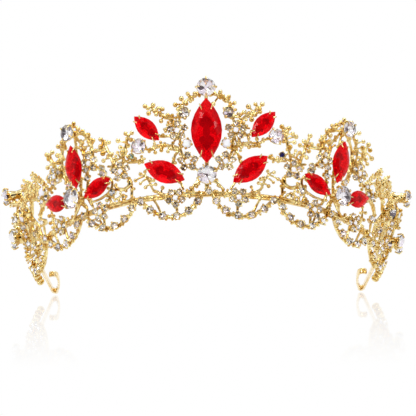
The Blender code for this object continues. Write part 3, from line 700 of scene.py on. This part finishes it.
def flower(place, side, out=FLOWER_OUT, turn=18):
    """Five petal stones in cups round a milky one, with a bead in each gap between petals."""
    heart = np.array([side * place[0], place[1], 0.0])

    def ring(radius, first, height):
        """Five places round the heart: it plus radius times cosine and sine of each angle."""
        angles = np.radians(first + 72 * np.arange(5))
        return heart + np.column_stack([radius * np.cos(angles), radius * np.sin(angles),
                                        np.full(5, height)])

    petals, gaps = ring(PETAL_RING, turn, out), ring(GAP_RING, turn + 36, out + 0.1)
    metal, stones = small_stones(petals, PETAL_STONE)
    more_metal, middle_stone = small_stones([heart + (0, 0, out + 0.25)], FLOWER_MIDDLE, 0.0)
    _along, up_axis, out_axis = face_axes(petals[0])
    star = [rod(on_face(np.linspace(heart + (0, 0, out - 1.0), petal - (0, 0, 1.0), 4)), 0.45, out_axis, 6)
            for petal in petals]
    stalk = rod(on_face(np.linspace(heart, heart + (0, 0, out - 0.65), 4)), 0.8, up_axis)
    return metal + more_metal + star + [stalk, berries(gaps, 0.9)], stones, middle_stone


def set_flower(name, place, side):
    """A flower setting as three pieces: its metal, its petal stones and its milky middle."""
    metal, petals, middle = flower(place, side)
    gold_piece(name + "_setting", metal, name)
    crystal_piece(name + "_petals", petals)
    crystal_piece(name + "_middle", middle, OPAL_GLASS, RAINBOW_FOIL)


# ---------------------------------------------------------------- centre crest

# Where a stem ends on the strip: its up and its out.
FOOT = (1.15, -0.4)

# Places of the berries on each spray, for each side. In UNDER_SPRAY and in the tables of the
# other castings, the places of the spray's own stem come first.
TOP_SPRAY = {
    "right": ((5, 40), (3, 39.2), (6, 38.3), (8, 38.2), (7, 36.5), (10, 35.5), (8.5, 34.5), (2.5, 35)),
    "left": ((4, 39.3), (6.5, 39.5), (8.8, 37.7), (11, 35.2), (10.2, 33.5), (5, 37.2), (7.2, 35.6)),
}
FLOWER_TIPS = {
    "right": ((11.5, 31.5), (12.8, 31.5), (9, 29.5), (13.5, 27.8), (14.5, 26.5)),
    "left": ((12.2, 31), (13.5, 31.2), (11, 30), (14.2, 27.4), (15.2, 25.6)),
}
UPPER_SPRAY = {
    "right": ((15, 34.5), (17.7, 36), (20.2, 36.2), (19.5, 33), (17.5, 31.5), (16.5, 29.5),
              (15.5, 32), (13.6, 32.2)),
    "left": ((15.7, 34), (19, 36), (22, 36), (21, 35), (20.8, 32.8), (16.5, 29.2), (18, 32),
             (14, 31.5)),
}
UNDER_SPRAY = {
    "right": ([(10, 17.5), (13, 19.5), (20, 20.5), (22, 22)],
              ((9.8, 22), (12, 20.8), (15.5, 21.5), (16, 18.2), (18.5, 18.8), (18.8, 21.8), (13, 18))),
    "left": ([(12, 17), (16, 19.5), (20, 19), (22, 18.5)],
             ((14.5, 16.5), (17, 20.5), (17, 17.3), (19.5, 20.4), (19.5, 16.8), (12.6, 20), (11, 21.6))),
}


def make_crest():
    """The centre casting: spine, branching stems, berry sprays and the cups of its rounds."""
    metal = [stem(1, [(0, *FOOT), (0, CREST_FOOT_UP), (0, CENTRE_UP), (0, FINIAL_UP)], BOLD_STEM)]
    metal += set_round("crest_foot_round", ROUND_CREST, (0, CREST_FOOT_UP), CREST_OUT, turn=20)
    metal += set_round("crest_finial_round", ROUND_CREST, (0, FINIAL_UP), CREST_OUT, turn=0)
    stones = []
    for name, side in SIDES.items():
        upper, lower, shoulder = FLOWERS["upper_flower"], FLOWERS["lower_flower"], SHOULDER[name]
        fork = (9.9, 17.4)
        routes = [
            [(0.2, FINIAL_UP - 1.5), (4.5, 38.6), (8.7, 35.2), (9.6, 31), upper],
            [upper, (13.2, 29.5), (16.5, 32.3), (19.6, 35.2)],
            [upper, (14.2, 23.0), along_axis(UPPER[name], -3), along_axis(UPPER[name], 4)],
            [upper, (9.9, 21), fork, (8.8, 14.4), lower, (3.4, 8.4), (0.2, 6.2)],
            [fork, (12, 15), (13.0, 12), along_axis(LOWER[name], 0), along_axis(LOWER[name], 6)],
            [along_axis(LOWER[name], 0), along_axis(LOWER[name], -5), (9.4, *FOOT)],
            [(0.4, 4.8), (3.8, 3.4), (6.2, *FOOT)],
            [fork, (13.5, 19), (18.5, 18.9), (21.5, shoulder[1] - 1.5), shoulder],
            [(10.2, 19.4), (7.2, 19.0)], [(13, 26), (15.8, 26)], [(3, 5), (6, 1), (7, -2.5)],
        ]
        metal += [stem(side, route) for route in routes[:-3]]
        metal += buds(side, routes[:5] + routes[7:])
        metal += [stem(side, route, THIN_STEM) for route in routes[-3:]]
        metal += sprays(side, (([(2.2, 39.5), (5, 38), (9, 35.2)], TOP_SPRAY[name]),
                               ([upper, (12.2, 28.2), (12.2, 30)], FLOWER_TIPS[name], 1.6),
                               ([(13.5, 30), (16.5, 32.4), (19.5, 35)], UPPER_SPRAY[name]),
                               (*UNDER_SPRAY[name], 1.6)))
        metal += set_round(f"shoulder_round_{name}", ROUND_SHOULDER, shoulder, SHOULDER_OUT, side, 30)
        middle_cup, middle = small_stones(sided(side, [(7.8, 31.4, 2.6)]), 4.5)
        opal_cup, opal = small_stones(sided(side, [(7.2, 19.0, 2.1)]), 3.7)
        metal += middle_cup + opal_cup
        stones += middle
        crystal_piece(f"crest_opal_{name}", opal, OPAL_GLASS, RAINBOW_FOIL)
    rail_cup, rail_stone = small_stones(sided(1, [(0.6, -0.3, 1.3)]), 2.8)
    gold_piece("centre_crest_filigree", metal + rail_cup, "centre_crest_casting")
    crystal_piece("crest_middle_stones", stones + rail_stone)


# ---------------------------------------------------------------- junction sprays

JUNCTION_FIRST = {
    "right": ([(32, 18), (30.5, 23), (28.8, 27.5)],
              ((28.3, 28.3), (31, 28), (30.3, 26.6), (32.5, 26), (34.2, 25.2), (33.4, 22.6),
               (28.4, 25), (31.8, 20.4), (29, 22.4))),
    "left": ([(32, 18), (30.8, 22), (29, 25.6)],
             ((28, 26.2), (30.5, 26.4), (33.5, 24), (33, 21.2), (28.6, 23.5), (30, 21.4), (32.4, 19))),
}
JUNCTION_SECOND = {
    "right": ([(37, 15), (38, 20), (39.5, 26)],
              ((39.8, 26.8), (37.5, 24), (40.6, 23.5), (40, 20.5), (36, 22), (39.6, 17.8), (36.2, 19))),
    "left": ([(36.8, 15), (38.2, 20), (40, 25.4)],
             ((40.8, 26.4), (38, 24.6), (41, 23.4), (40.7, 17.5), (37, 19.4), (36.4, 17), (40.4, 20.4))),
}


def make_junction(name, side):
    """The spray between the centre crest and the side crest, with its C scroll."""
    bloom = FLOWERS["junction_flower"]
    trunk = [(30.9, *FOOT), (30.3, 4.5), (31.2, 8), bloom, (33, 15.6), (31.2, 20.6), (29.8, 26)]
    branch = [bloom, (37.0, 15.4), (38.5, 20.6), (40, 25.8)]
    arm = [(24, 15), (27, 14.2), (31, 14.6)]
    metal = [
        stem(side, trunk),
        stem(side, [(30.6, 7.2), (31.2, 5.2), (33.6, 4.2), (36, 4.8), (37.2, 6.4)], BOLD_STEM, 0.4),
        stem(side, branch),
        stem(side, [(33, 15.0), (30.8, 15.6), (29.0, 16.6)], THIN_STEM),
        stem(side, [(36.4, 14.2), (39.6, 15.0)]),
        stem(side, [(36.8, 5.4), (37.9, 3.8)]),
        stem(side, [(29.5, 0), (32, -0.8), (34.2, -0.4), (34, 2)], THIN_STEM, 0.9),
        stem(side, [(40, 22.4), (44.3, 22.6)], BOLD_STEM, 0.6),
        stem(side, arm, THIN_STEM),
    ]
    metal += buds(side, ([(30.6, 2)] + trunk[1:-1], branch[:-1], [(30.2, 4.6), (31.2, 3.2), (33.6, 2.2)],
                         arm, [(36, 9), (37.4, 5.4), (37.9, 3.0)]))
    metal += sprays(side, (
        JUNCTION_FIRST[name], JUNCTION_SECOND[name],
        ([(24.5, 15), (27, 14.4), (30, 14.6)], ((25, 16), (25.7, 13.4), (27.4, 15.6)), 1.3),
        ([(31, 20), (32.6, 17.4), (35.6, 16.4)],
         ((30.6, 19), (30.4, 16.8), (35.4, 18.2), (37.8, 13), (34.4, 19.4)), 1.5),
        ([(34, 2), (35.6, 1.6), (36.8, 0.8)], ((37.6, 0.8), (35.4, 3.0), (33, 1.2)), 1.5)))
    tiny_cup, tiny = small_stones(sided(side, [(28.6, 16.5, 1.8)]), 2.4)
    bead_cup, bead = small_stones(sided(side, [(38.0, 3.7, 2.0), (41.6, 12.6, 1.6)]), 3.1)
    gold_piece(f"junction_filigree_{name}", metal + tiny_cup + bead_cup, f"junction_casting_{name}")
    crystal_piece(f"junction_tiny_stone_{name}", tiny, foil=BLUE_FOIL if side > 0 else RAINBOW_FOIL)
    crystal_piece(f"junction_bead_stones_{name}", bead)


# ---------------------------------------------------------------- side crests

INNER_ARCH = {
    "right": ([(46, 23), (46.5, 28), (49, 32), (53, 35)],
              ((45.3, 28), (47, 31), (49, 33.6), (51.3, 34.6), (48.4, 29.3), (48.2, 26.5), (47.6, 23.5),
               (44.3, 24.2), (44.6, 26.2))),
    "left": ([(45.8, 22), (46, 26), (48, 30), (51.5, 33)],
             ((44.3, 27), (46, 29.8), (48, 31.8), (50, 33.6), (49.4, 27.5), (48.5, 25), (47.3, 22.5),
              (45, 24.8), (43.8, 22.6))),
}
OUTER_ARCH = {
    "right": ([(60, 33), (63, 29), (64, 25), (62.5, 20), (61, 15), (60.5, 13)],
              ((62.5, 35), (65.5, 32.5), (66, 30), (66.6, 27.5), (61.6, 31.4), (62, 27.2), (61, 24),
               (60.2, 20), (63.6, 22.4))),
    "left": ([(58, 31), (60, 27), (61, 24), (61.4, 19), (61, 14)],
             ((59, 31), (61, 30), (63, 27), (58.4, 28.4), (63.2, 24), (59.4, 24), (59.6, 20.4),
              (62.8, 21.4))),
}
OUTER_ROW = {
    "right": ([(67, 24), (68, 28), (69, 32)],
              ((69.5, 32.8), (71, 31), (72.5, 28), (71, 25), (66.8, 29.6), (69.2, 26.4), (68.8, 23))),
    "left": ([(65.8, 21.5), (67, 25), (67.6, 29)],
             ((66, 29.5), (68.4, 27.4), (67, 25.2), (69.4, 24.2), (65.6, 24.4), (68.2, 22), (69, 29.6))),
}


def make_side(name, side):
    """The side crest: two arches that frame the upright stone, the spire and the side round."""
    inner, outer, spire = FLOWERS["side_inner_flower"], FLOWERS["side_outer_flower"], SPIRE[name]
    routes = [
        [(49.6, *FOOT), (51, 5), (50.6, 9), (49.4, 14), (49.2, 20), (50.0, 26), spire],
        [inner, (45.6, 22), (46.2, 26.5), (48.2, 30.6), spire],
        [(41.6, 15.3), (44.2, 15.8), inner, (49.6, 17.5)],
        [spire, (58.6, 30.8), (61.2, 26.5), (61.8, 21.5), (61, 16), (59.3, 11.5), SIDE_ROUND],
        [outer, (66, 23.4), (68.8, 29.2)],
        [(61.4, 18.6), outer, (68.6, 16.8), (71.4, 15.4)],
        [SIDE_ROUND, along_axis(UPRIGHT[name], -5), along_axis(UPRIGHT[name], 6), spire],
        [along_axis(INNER[name], 4), along_axis(INNER[name], -3), SIDE_ROUND],
        [SIDE_ROUND, along_axis(OUTER[name], 0), along_axis(OUTER[name], 4.5)],
        [SIDE_ROUND, (54.2, 3), (53, *FOOT)],
        [SIDE_ROUND, (57.6, 3.2), (59.4, *FOOT)],
    ]
    metal = [stem(side, route) for route in routes] + buds(side, routes)
    metal += [
        stem(side, [(54, 4.4), (51.5, 1.4), (52.4, -1.6), (57, -2.4), (61.8, -1.2)], THIN_STEM, 1.1),
        stem(side, [(54, 4), (57, 0.6), (62, -3.2)], THIN_STEM, 1.3),
        stem(side, [(69.4, 20.8), (71.6, 20.2)], BOLD_STEM, 0.8),
        stem(side, [(40.5, 10.8), (38.4, 8.6), (39.4, 5.2), (44, 3.0), (49, 2.6)], STEM, 0.4),
    ]
    metal += sprays(side, (INNER_ARCH[name], OUTER_ARCH[name], OUTER_ROW[name]))
    metal += set_round(f"side_spire_round_{name}", ROUND_SPIRE, spire, SPIRE_OUT, side)
    metal += set_round(f"side_round_{name}", ROUND_LARGE, SIDE_ROUND, SIDE_ROUND_OUT, side)
    metal += sprays(side, (
        ([(spire[0] - 2.4, spire[1] + 2.2), (spire[0] + 1.0, spire[1] + 3.4)],
         ((spire[0] + 2.9, spire[1] + 4.0), (spire[0] - 0.8, spire[1] + 4.2))),
        ([(50, 24.6), (49.4, 20), (49.8, 14)],
         ((51.2, 26), (48.2, 22.4), (50.8, 16.4), (48.4, 13.2)), 1.4),
        ([(68.6, 16.8), (71.4, 15.6), (74, 14.8)],
         ((72.8, 17.4), (70.2, 18.4), (70.4, 13.8), (68, 14.6)), 1.5)))
    extra_places = [(41.4, 14.6, 1.9), (58.4, 12.6, 2.0), (48.8, 12.4, 1.9), (71.8, 15.6, 1.9)]
    extra_cups, extra = small_stones(sided(side, extra_places), 2.4)
    gold_piece(f"side_filigree_{name}", metal + extra_cups, f"side_crest_casting_{name}")
    crystal_piece(f"side_small_stones_{name}", extra)


# ---------------------------------------------------------------- ends

END_FERNS = (
    ([(76.5, 13.5), (80.5, 18), (85, 22.6), (90, 26.2)], 1.15),
    ([(79.5, 15), (84, 17.4), (89, 19.2), (94, 22.6)], 1.1),
    ([(86, 3.6), (88.4, 6.6), (90.8, 9.6)], 0.85),
    ([(95.4, 8), (98, 11.4), (99.4, 15.6), (101.2, 19.4)], 0.85),
    ([(73.4, 17.6), (76.4, 21.4), (80.2, 25)], 0.9),
    ([(76.6, 16), (80.4, 21), (82.2, 26.4)], 1.0),
    ([(84, 18.6), (88, 22.4), (94, 26)], 1.0),
    ([(100.2, 15.4, 2.0), (96, 18.4, 1.6), (91.4, 20, 1.0)], 0.9),
    ([(98, 20, 1.5), (101, 22.6, 3.2), (104, 24.2, 4.6)], 0.85),
)
# Small stones: their places with their diameter and how much they lean.
END_STONES = (
    ([(76.4, 12.2, 2.2), (77.8, 14.8, 1.9), (73.2, 12.6, 1.9)], 2.9, 0.12),
    ([(*END_MIDDLE, 4.2), (100.2, 15.4, 4.4)], 5.4, 0.12),
    ([(101.2, 4.2, 1.8), (101.9, 8.4, 1.8), (102.7, 12.6, 2.2), (106.6, 17.8, 4.4), (106.2, 13.6, 4.4),
      (105.6, 4.4, 2.6), (88.6, 3.4, 1.7), (97.0, 14.6, 2.0), (111.0, 3.0, 2.2), (79.4, 4.4, 2.2)],
     3.3, 0.25),
    ([(114.2, -0.2, 1.4)], 3.4, 0.12),
)
TAIL_COILS = (119.2, 122.9, 126.6, 130.2)


def make_end(name, side):
    """The end casting: fern fans, scrolls, three raised cups, straight rods and the tail."""
    finial, end_round = END_FINIAL[name], END_ROUND[name]
    fan = [(74.4, 15.6), (76.3, 12.2), (79.5, 16), (83.5, 20.5), (88, 24.6)]
    branch = [(78.8, 15.2), (83, 16.8), (88.5, 18.6), (93.5, 21.5)]
    scroll = [(76.3, 12.2), (80.6, 10.8), (83.6, 8.2), (82.8, 4.8), (79.6, 4.2)]
    cross_stem = [(96, 6.5), (103, 6), end_round]
    metal = [
        stem(side, fan),
        stem(side, branch),
        stem(side, scroll, BOLD_STEM, 0.3),
        stem(side, [(82.8, 4.6), (84, *FOOT)]),
        stem(side, [(88.5, 18.6), END_MIDDLE, (97.5, 18.5), finial, (107, 17), end_round,
                    (111.4, 3)], STEM * 1.15),
        stem(side, [END_MIDDLE, (96, 6.5), (97.5, *FOOT)]),
        stem(side, cross_stem),
        stem(side, [(111.2, 4), (112.6, 0.4), (119, -0.8), (125, -1.0), (130, -1.2)], STEM),
        stem(side, [(86, 1.2), (87, 6), (90, 9.5), END_MIDDLE], STEM, 0.3),
        stem(side, [(98.6, 1.2), (99.6, 8), (100.4, 15), (102.4, 22)], STEM, 0.3),
        stem(side, [(103.4, 1.2), (104.2, 8), (104.8, 14), (105.2, 21)], STEM, 0.5),
        stem(side, [(107.2, 1.2), (107.6, 5.5), (109, 8)], STEM, 0.5),
        stem(side, [(89.5, 3.6), (92.8, 5.4), (94.4, 8.6), (92.6, 10.4), (90.2, 9.0)], THIN_STEM, 0.7),
    ]
    metal += buds(side, (fan, branch, scroll[:-1], [(88.5, 18.6), END_MIDDLE, (96, 6.5), (97, 2)],
                         cross_stem, [(97.5, 18.5), finial, (107, 17)]), 1.6)
    for places, leaf in END_FERNS:
        metal += fern(side, places, leaf)
    metal += [
        stem(side, [(103.8, 3, 0.4), (105.4, 8, 2.6), (106, 13, 3.2), (105.4, 19, 3.4), finial],
             STEM * 1.1),
        stem(side, [(96, 18, 0.6), (99.5, 21.5, 2.4), (103.0, 25.4, 3.6)], STEM * 1.3),
    ]
    for stone, size, place, waist in (("end_finial_round", ROUND_SPIRE, finial, 1.7),
                                      ("end_round", ROUND_LARGE, end_round, 2.1)):
        metal += set_round(f"{stone}_{name}", size, place, END_ROUND_OUT, side, waist=waist, cover=0.75)
    cups, opal = small_stones(sided(side, [(74.4, 15.6, 2.6)]), 4.1)
    stones = []
    for places, diameter, wobble in END_STONES:
        more_cups, more_stones = small_stones(sided(side, places), diameter, wobble)
        cups += more_cups
        stones += more_stones
    origins, axes = seats(sided(side, [(along, -1.0, 0.35) for along in TAIL_COILS]), 0.0, 0.06)
    metal.append(copies(COIL, origins, axes[:, [1, 2, 0]]))
    gold_piece(f"end_filigree_{name}", metal + cups, f"end_casting_{name}")
    crystal_piece(f"end_opal_{name}", opal, OPAL_GLASS, RAINBOW_FOIL)
    crystal_piece(f"end_small_stones_{name}", stones)


# ---------------------------------------------------------------- scallops and headband

RAIL_SPRAYS = {
    1: ([(17, -0.5), (21, 1.5), (22.5, 5), (24, 8)],
        ((17.5, 2.3), (18.5, -0.2), (22.2, 6.4), (20.2, 4), (20.8, 5.6), (26, 9), (24.5, 3.4),
         (28, 6.6), (26.4, 5.2), (23.8, 9.4))),
    2: ([(39.4, -0.5), (40.2, 1.6), (39.6, 4.4)],
        ((38.6, 2.2), (41.2, 1.2), (41.4, 3.4), (38.8, 5.0), (40.2, 6.0))),
    3: ([(72.4, -0.5), (73.8, 2), (73.4, 5.6)],
        ((71.4, 2), (75.2, 2.4), (72.2, 4.4), (74.9, 5.4), (73.2, 7.2))),
    4: ([(88.2, -0.5), (89.4, 1.6), (90.4, 4.2)],
        ((87.4, 1.8), (90.8, 1.6), (88.9, 3.9), (91.4, 4.6))),
}


def make_scallop(number, name, side):
    """A hanging loop: top bars, the wire with its six cups, a flower and a rising spray."""
    start = SCALLOP_STARTS[number - 1]
    drops = [(start + along, up) for along, up in SCALLOP_DROPS]
    along, up = SCALLOP_FLOWERS[number - 1]
    bloom = (start + along, up)
    nearest = min(drops, key=lambda drop: abs(drop[0] - bloom[0]))
    first, last = (start, SCALLOP_TOP), (start + SCALLOP_WIDTH, SCALLOP_TOP)
    loop = [first, *drops, last]
    metal = [
        stem(side, [first, (start + SCALLOP_WIDTH / 2, SCALLOP_TOP), last], STEM, 0.0, 1.0),
        stem(side, loop, STEM * 1.15, 0.0, 1.0),
        stem(side, [(bloom[0], SCALLOP_TOP), bloom, nearest], STEM, 0.1),
        stem(side, [(start + SCALLOP_WIDTH * 0.6, SCALLOP_TOP - 1.3),
                    (start + SCALLOP_WIDTH * 0.92, SCALLOP_TOP - 1.1)], THIN_STEM, 0.3),
        stem(side, [(start + 2.2, SCALLOP_TOP - 0.9), (start + 6.4, SCALLOP_TOP - 1.2)], THIN_STEM, 0.4),
        stem(side, [(start + SCALLOP_WIDTH * 0.80, -0.8), (start + SCALLOP_WIDTH * 0.72, -4.2),
                    (start + SCALLOP_WIDTH * 0.66, -8.0)], THIN_STEM, 0.3),
    ]
    metal += buds(side, [[first, last], loop], 1.35, 1.5)
    metal += spray(side, *RAIL_SPRAYS[number], 1.6)
    cups, stones = small_stones(sided(side, drops, 1.9), SCALLOP_STONE)
    # Claw tips stand out below the wire, between and under the stones.
    lower = np.array(smooth_route(drops, 2.4))
    away = square_to(lower)
    tips = np.column_stack([lower + away * rng.uniform(0.85, 1.2, (len(lower), 1)),
                            rng.uniform(0.4, 1.2, len(lower))]) * (side, 1, 1)
    flower_metal, petals, middle = flower(bloom, side, 2.2, 54 if number % 2 else 18)
    gold_piece(f"scallop_{number}_{name}_wire", metal + cups + flower_metal + [berries(tips, 1.2)],
               f"scallop_{number}_{name}")
    crystal_piece(f"scallop_{number}_{name}_stones", stones + petals)
    crystal_piece(f"scallop_{number}_{name}_milky_stone", middle, OPAL_GLASS, RAINBOW_FOIL)


def headband_line(side):
    """One half of the strip in plan, in mm: an arc, a straight arm, and a long eye made of a
    tight half turn, a return that bows out along a quarter of a sine wave, and a curl."""
    radius, eye = HEAD_RADIUS - 2.0, 2.5
    arc = np.radians(np.linspace(0, 88, 60))
    parts = [np.column_stack([radius * np.sin(arc), -radius * np.cos(arc)])]
    heading = math.radians(98)
    ahead = np.array([math.cos(heading), math.sin(heading)])
    inward = np.array([-ahead[1], ahead[0]])
    tip = parts[0][-1] + ahead * 29
    parts.append(parts[0][-1] + ahead * np.linspace(1, 29, 16)[:, None])
    # The far end turns tightly and the return bows out to the eye's full width, like a drop.
    half = np.linspace(0, np.pi, 13)[1:, None]
    parts.append(tip + (inward * (1 - np.cos(half)) + ahead * 2.2 * np.sin(half)) * 1.1)
    share = np.linspace(0, 1, 14)[1:, None]
    back = tip + inward * 2.2
    bow = (2 * eye - 2.2) * np.sin(share * np.pi / 2) ** 0.8
    parts.append(back - ahead * 14.6 * share + inward * bow)
    curl = np.linspace(0, np.pi * 0.75, 9)[1:, None]
    parts.append(parts[-1][-1] - inward * 1.7 * (1 - np.cos(curl)) - ahead * 1.7 * np.sin(curl))
    return np.vstack(parts) * (side, 1)


def make_headband():
    """The strip: a rounded oblong, a superellipse of power 5, carried along its plan line."""
    right, left = headband_line(1), headband_line(-1)
    line = np.vstack([left[:0:-1], right])
    away = square_to(line)
    angle = np.linspace(0, 2 * np.pi, 20, endpoint=False)
    power = 2 / 5
    across = 0.5 * np.sign(np.cos(angle)) * np.abs(np.cos(angle)) ** power
    height = -0.4 + 1.2 * np.sign(np.sin(angle)) * np.abs(np.sin(angle)) ** power
    plan = line[:, None] + away[:, None] * across[None, :, None]
    points = np.dstack([plan, np.broadcast_to(height, plan.shape[:2])])
    faces = [(f[:, ::-1], 0, True) for f in skin(len(line), 20)]
    make_piece("headband_rolled_strip", [(leaned(points.reshape(-1, 3) * MM), faces)],
               (ROLLED_GOLD,), "gold_plate", "headband_strip")


make_headband()
make_crest()
set_navette("centre_navette", CENTRE_NAVETTE, (0, CENTRE_UP, 90), CENTRE_OUT)
for name, side in SIDES.items():
    make_junction(name, side)
    make_side(name, side)
    make_end(name, side)
    for number in range(1, 5):
        make_scallop(number, name, side)
    for navette, size, places in (("upper_navette", SMALL_NAVETTE, UPPER),
                                  ("lower_navette", MEDIUM_NAVETTE, LOWER),
                                  ("side_upright_navette", MEDIUM_NAVETTE, UPRIGHT),
                                  ("side_inner_navette", SMALL_NAVETTE, INNER),
                                  ("side_outer_navette", SMALL_NAVETTE, OUTER)):
        set_navette(f"{navette}_{name}", size, places[name], NAVETTE_OUT, side)
    for bloom, place in FLOWERS.items():
        set_flower(f"{bloom}_{name}", place, side)


# ---------------------------------------------------------------- floor, light and camera

def stage_sheet(name, centre, right, up, finish):
    """A flat oblong sheet of the studio from its middle and its two half sides."""
    centre, right, up = (np.array(v, float) for v in (centre, right, up))
    corners = [centre - right - up, centre + right - up, centre + right + up, centre - right + up]
    mesh = bpy.data.meshes.new(name)
    mesh.from_pydata([tuple(c) for c in corners], [], [(0, 1, 2, 3)])
    mesh.materials.append(finish)
    sheet = bpy.data.objects.new(name, mesh)
    bpy.context.scene.collection.objects.link(sheet)
    return sheet


def bare_finish(name):
    """A studio material with no nodes yet."""
    material = bpy.data.materials.new(name)
    material.use_nodes = True
    material.node_tree.nodes.clear()
    return material, material.node_tree


def white_acrylic_table():
    """A lit white acrylic table top: even white, with a faint mirror that fades away from the
    tiara, to the front and to the back, and is weaker where it is seen from above."""
    material, tree = bare_finish("white_acrylic_table")
    place = add_node(tree, "ShaderNodeTexCoord").outputs["Object"]
    depth = add_node(tree, "ShaderNodeSeparateXYZ", links={0: place})
    front = add_node(tree, "ShaderNodeMapRange", {1: -0.54, 2: 0.03, 3: 0.0, 4: 0.52},
                     {0: depth.outputs["Y"]})
    back = add_node(tree, "ShaderNodeMapRange", {1: 0.10, 2: 0.45, 3: 1.0, 4: 0.0},
                    {0: depth.outputs["Y"]})
    fade = add_node(tree, "ShaderNodeMath", links={0: front.outputs[0], 1: back.outputs[0]},
                    operation="MULTIPLY")
    glow = add_node(tree, "ShaderNodeEmission", {"Color": linear("#FFFFFF"), "Strength": 1.0})
    mirror = add_node(tree, "ShaderNodeBsdfGlossy", {"Color": linear("#FFFFFF"), "Roughness": 0.015})
    slant = add_node(tree, "ShaderNodeFresnel", {"IOR": 1.25})
    sheen = add_node(tree, "ShaderNodeMath", links={0: fade.outputs[0], 1: slant.outputs[0]},
                     operation="MULTIPLY")
    mixed = add_node(tree, "ShaderNodeMixShader", links={
        0: sheen.outputs[0], 1: glow.outputs[0], 2: mirror.outputs[0]})
    add_node(tree, "ShaderNodeOutputMaterial", links={0: mixed.outputs[0]})
    return material


def card_finish(name, shade):
    """Card that the metal and stones reflect, of one even shade."""
    material, tree = bare_finish(name)
    glow = add_node(tree, "ShaderNodeEmission", {"Color": linear(shade), "Strength": 1.0})
    add_node(tree, "ShaderNodeOutputMaterial", links={0: glow.outputs[0]})
    return material


# The table top lies 0.3 mm below the lowest point, so nothing dips into it.
floor_height = float(np.asarray(cad_box).reshape(2, 3)[0, 2]) - 0.3 * MM
stage_sheet("table_top", (0, 1.0, floor_height), (4, 0, 0), (0, 4, 0), white_acrylic_table())

black_card = card_finish("black_studio_card", "#20140A")
brown_card = card_finish("brown_studio_card", "#6A5230")
for name, centre, right, up, finish in (
        ("card_by_camera", (0.0, -0.56, 0.09), (0.33, 0, 0), (0, 0, 0.22), black_card),
        ("card_round_camera", (0.0, -0.58, -0.05), (0.62, 0, 0), (0, 0, 0.44), brown_card),
        ("card_left", (-1.1, -0.5, 0.35), (0.18, 0.25, 0), (0, 0, 0.5), black_card),
        ("card_right", (1.1, -0.5, 0.35), (0.16, -0.25, 0), (0, 0, 0.5), black_card),
        ("card_above", (0.0, -0.3, 1.2), (0.5, 0, 0), (0, 0.10, 0), black_card),
        ("card_behind", (0.0, 0.9, 0.5), (0.4, 0, 0), (0, 0, 0.35), black_card)):
    card = stage_sheet(name, centre, right, up, finish)
    card.visible_camera = False
    card.visible_shadow = False
    card.visible_diffuse = False
    card.visible_transmission = False  # the foil behind the glass sees past the cards

world = bpy.data.worlds.new("white_studio")
world.use_nodes = True
backdrop = world.node_tree.nodes["Background"]
backdrop.inputs["Color"].default_value = linear("#FFFFFF")
backdrop.inputs["Strength"].default_value = 1.0
bpy.context.scene.world = world


def soft_light(name, place, target, size, watts):
    """A square soft box that faces its target."""
    lamp = bpy.data.lights.new(name, "AREA")
    lamp.size = size
    lamp.energy = watts
    light = bpy.data.objects.new(name, lamp)
    x, y, z = np.subtract(target, place)
    light.rotation_euler = (math.atan2(math.hypot(x, y), -z), 0, math.atan2(-x, y))
    light.location = place
    light.visible_camera = False
    bpy.context.scene.collection.objects.link(light)


soft_light("key_light", (-0.55, -0.85, 0.75), (0, -0.04, 0.03), 0.30, 3.5)
soft_light("fill_light", (0.65, -0.75, 0.55), (0, -0.04, 0.03), 0.25, 2.0)
soft_light("top_light", (0.1, 0.15, 0.9), (0, -0.03, 0.03), 0.35, 3.5)

camera_data = bpy.data.cameras.new("camera")
camera_data.lens = 248.0
camera_data.sensor_width = 36.0
camera_data.clip_end = 50.0
camera = bpy.data.objects.new("camera", camera_data)
camera.location = (0.0003, -1.197, 0.0228)
camera.rotation_mode = "XYZ"
camera.rotation_euler = (math.radians(90), math.radians(0.57), 0)
bpy.context.scene.collection.objects.link(camera)
bpy.context.scene.camera = camera
bpy.context.scene.view_settings.view_transform = "Standard"
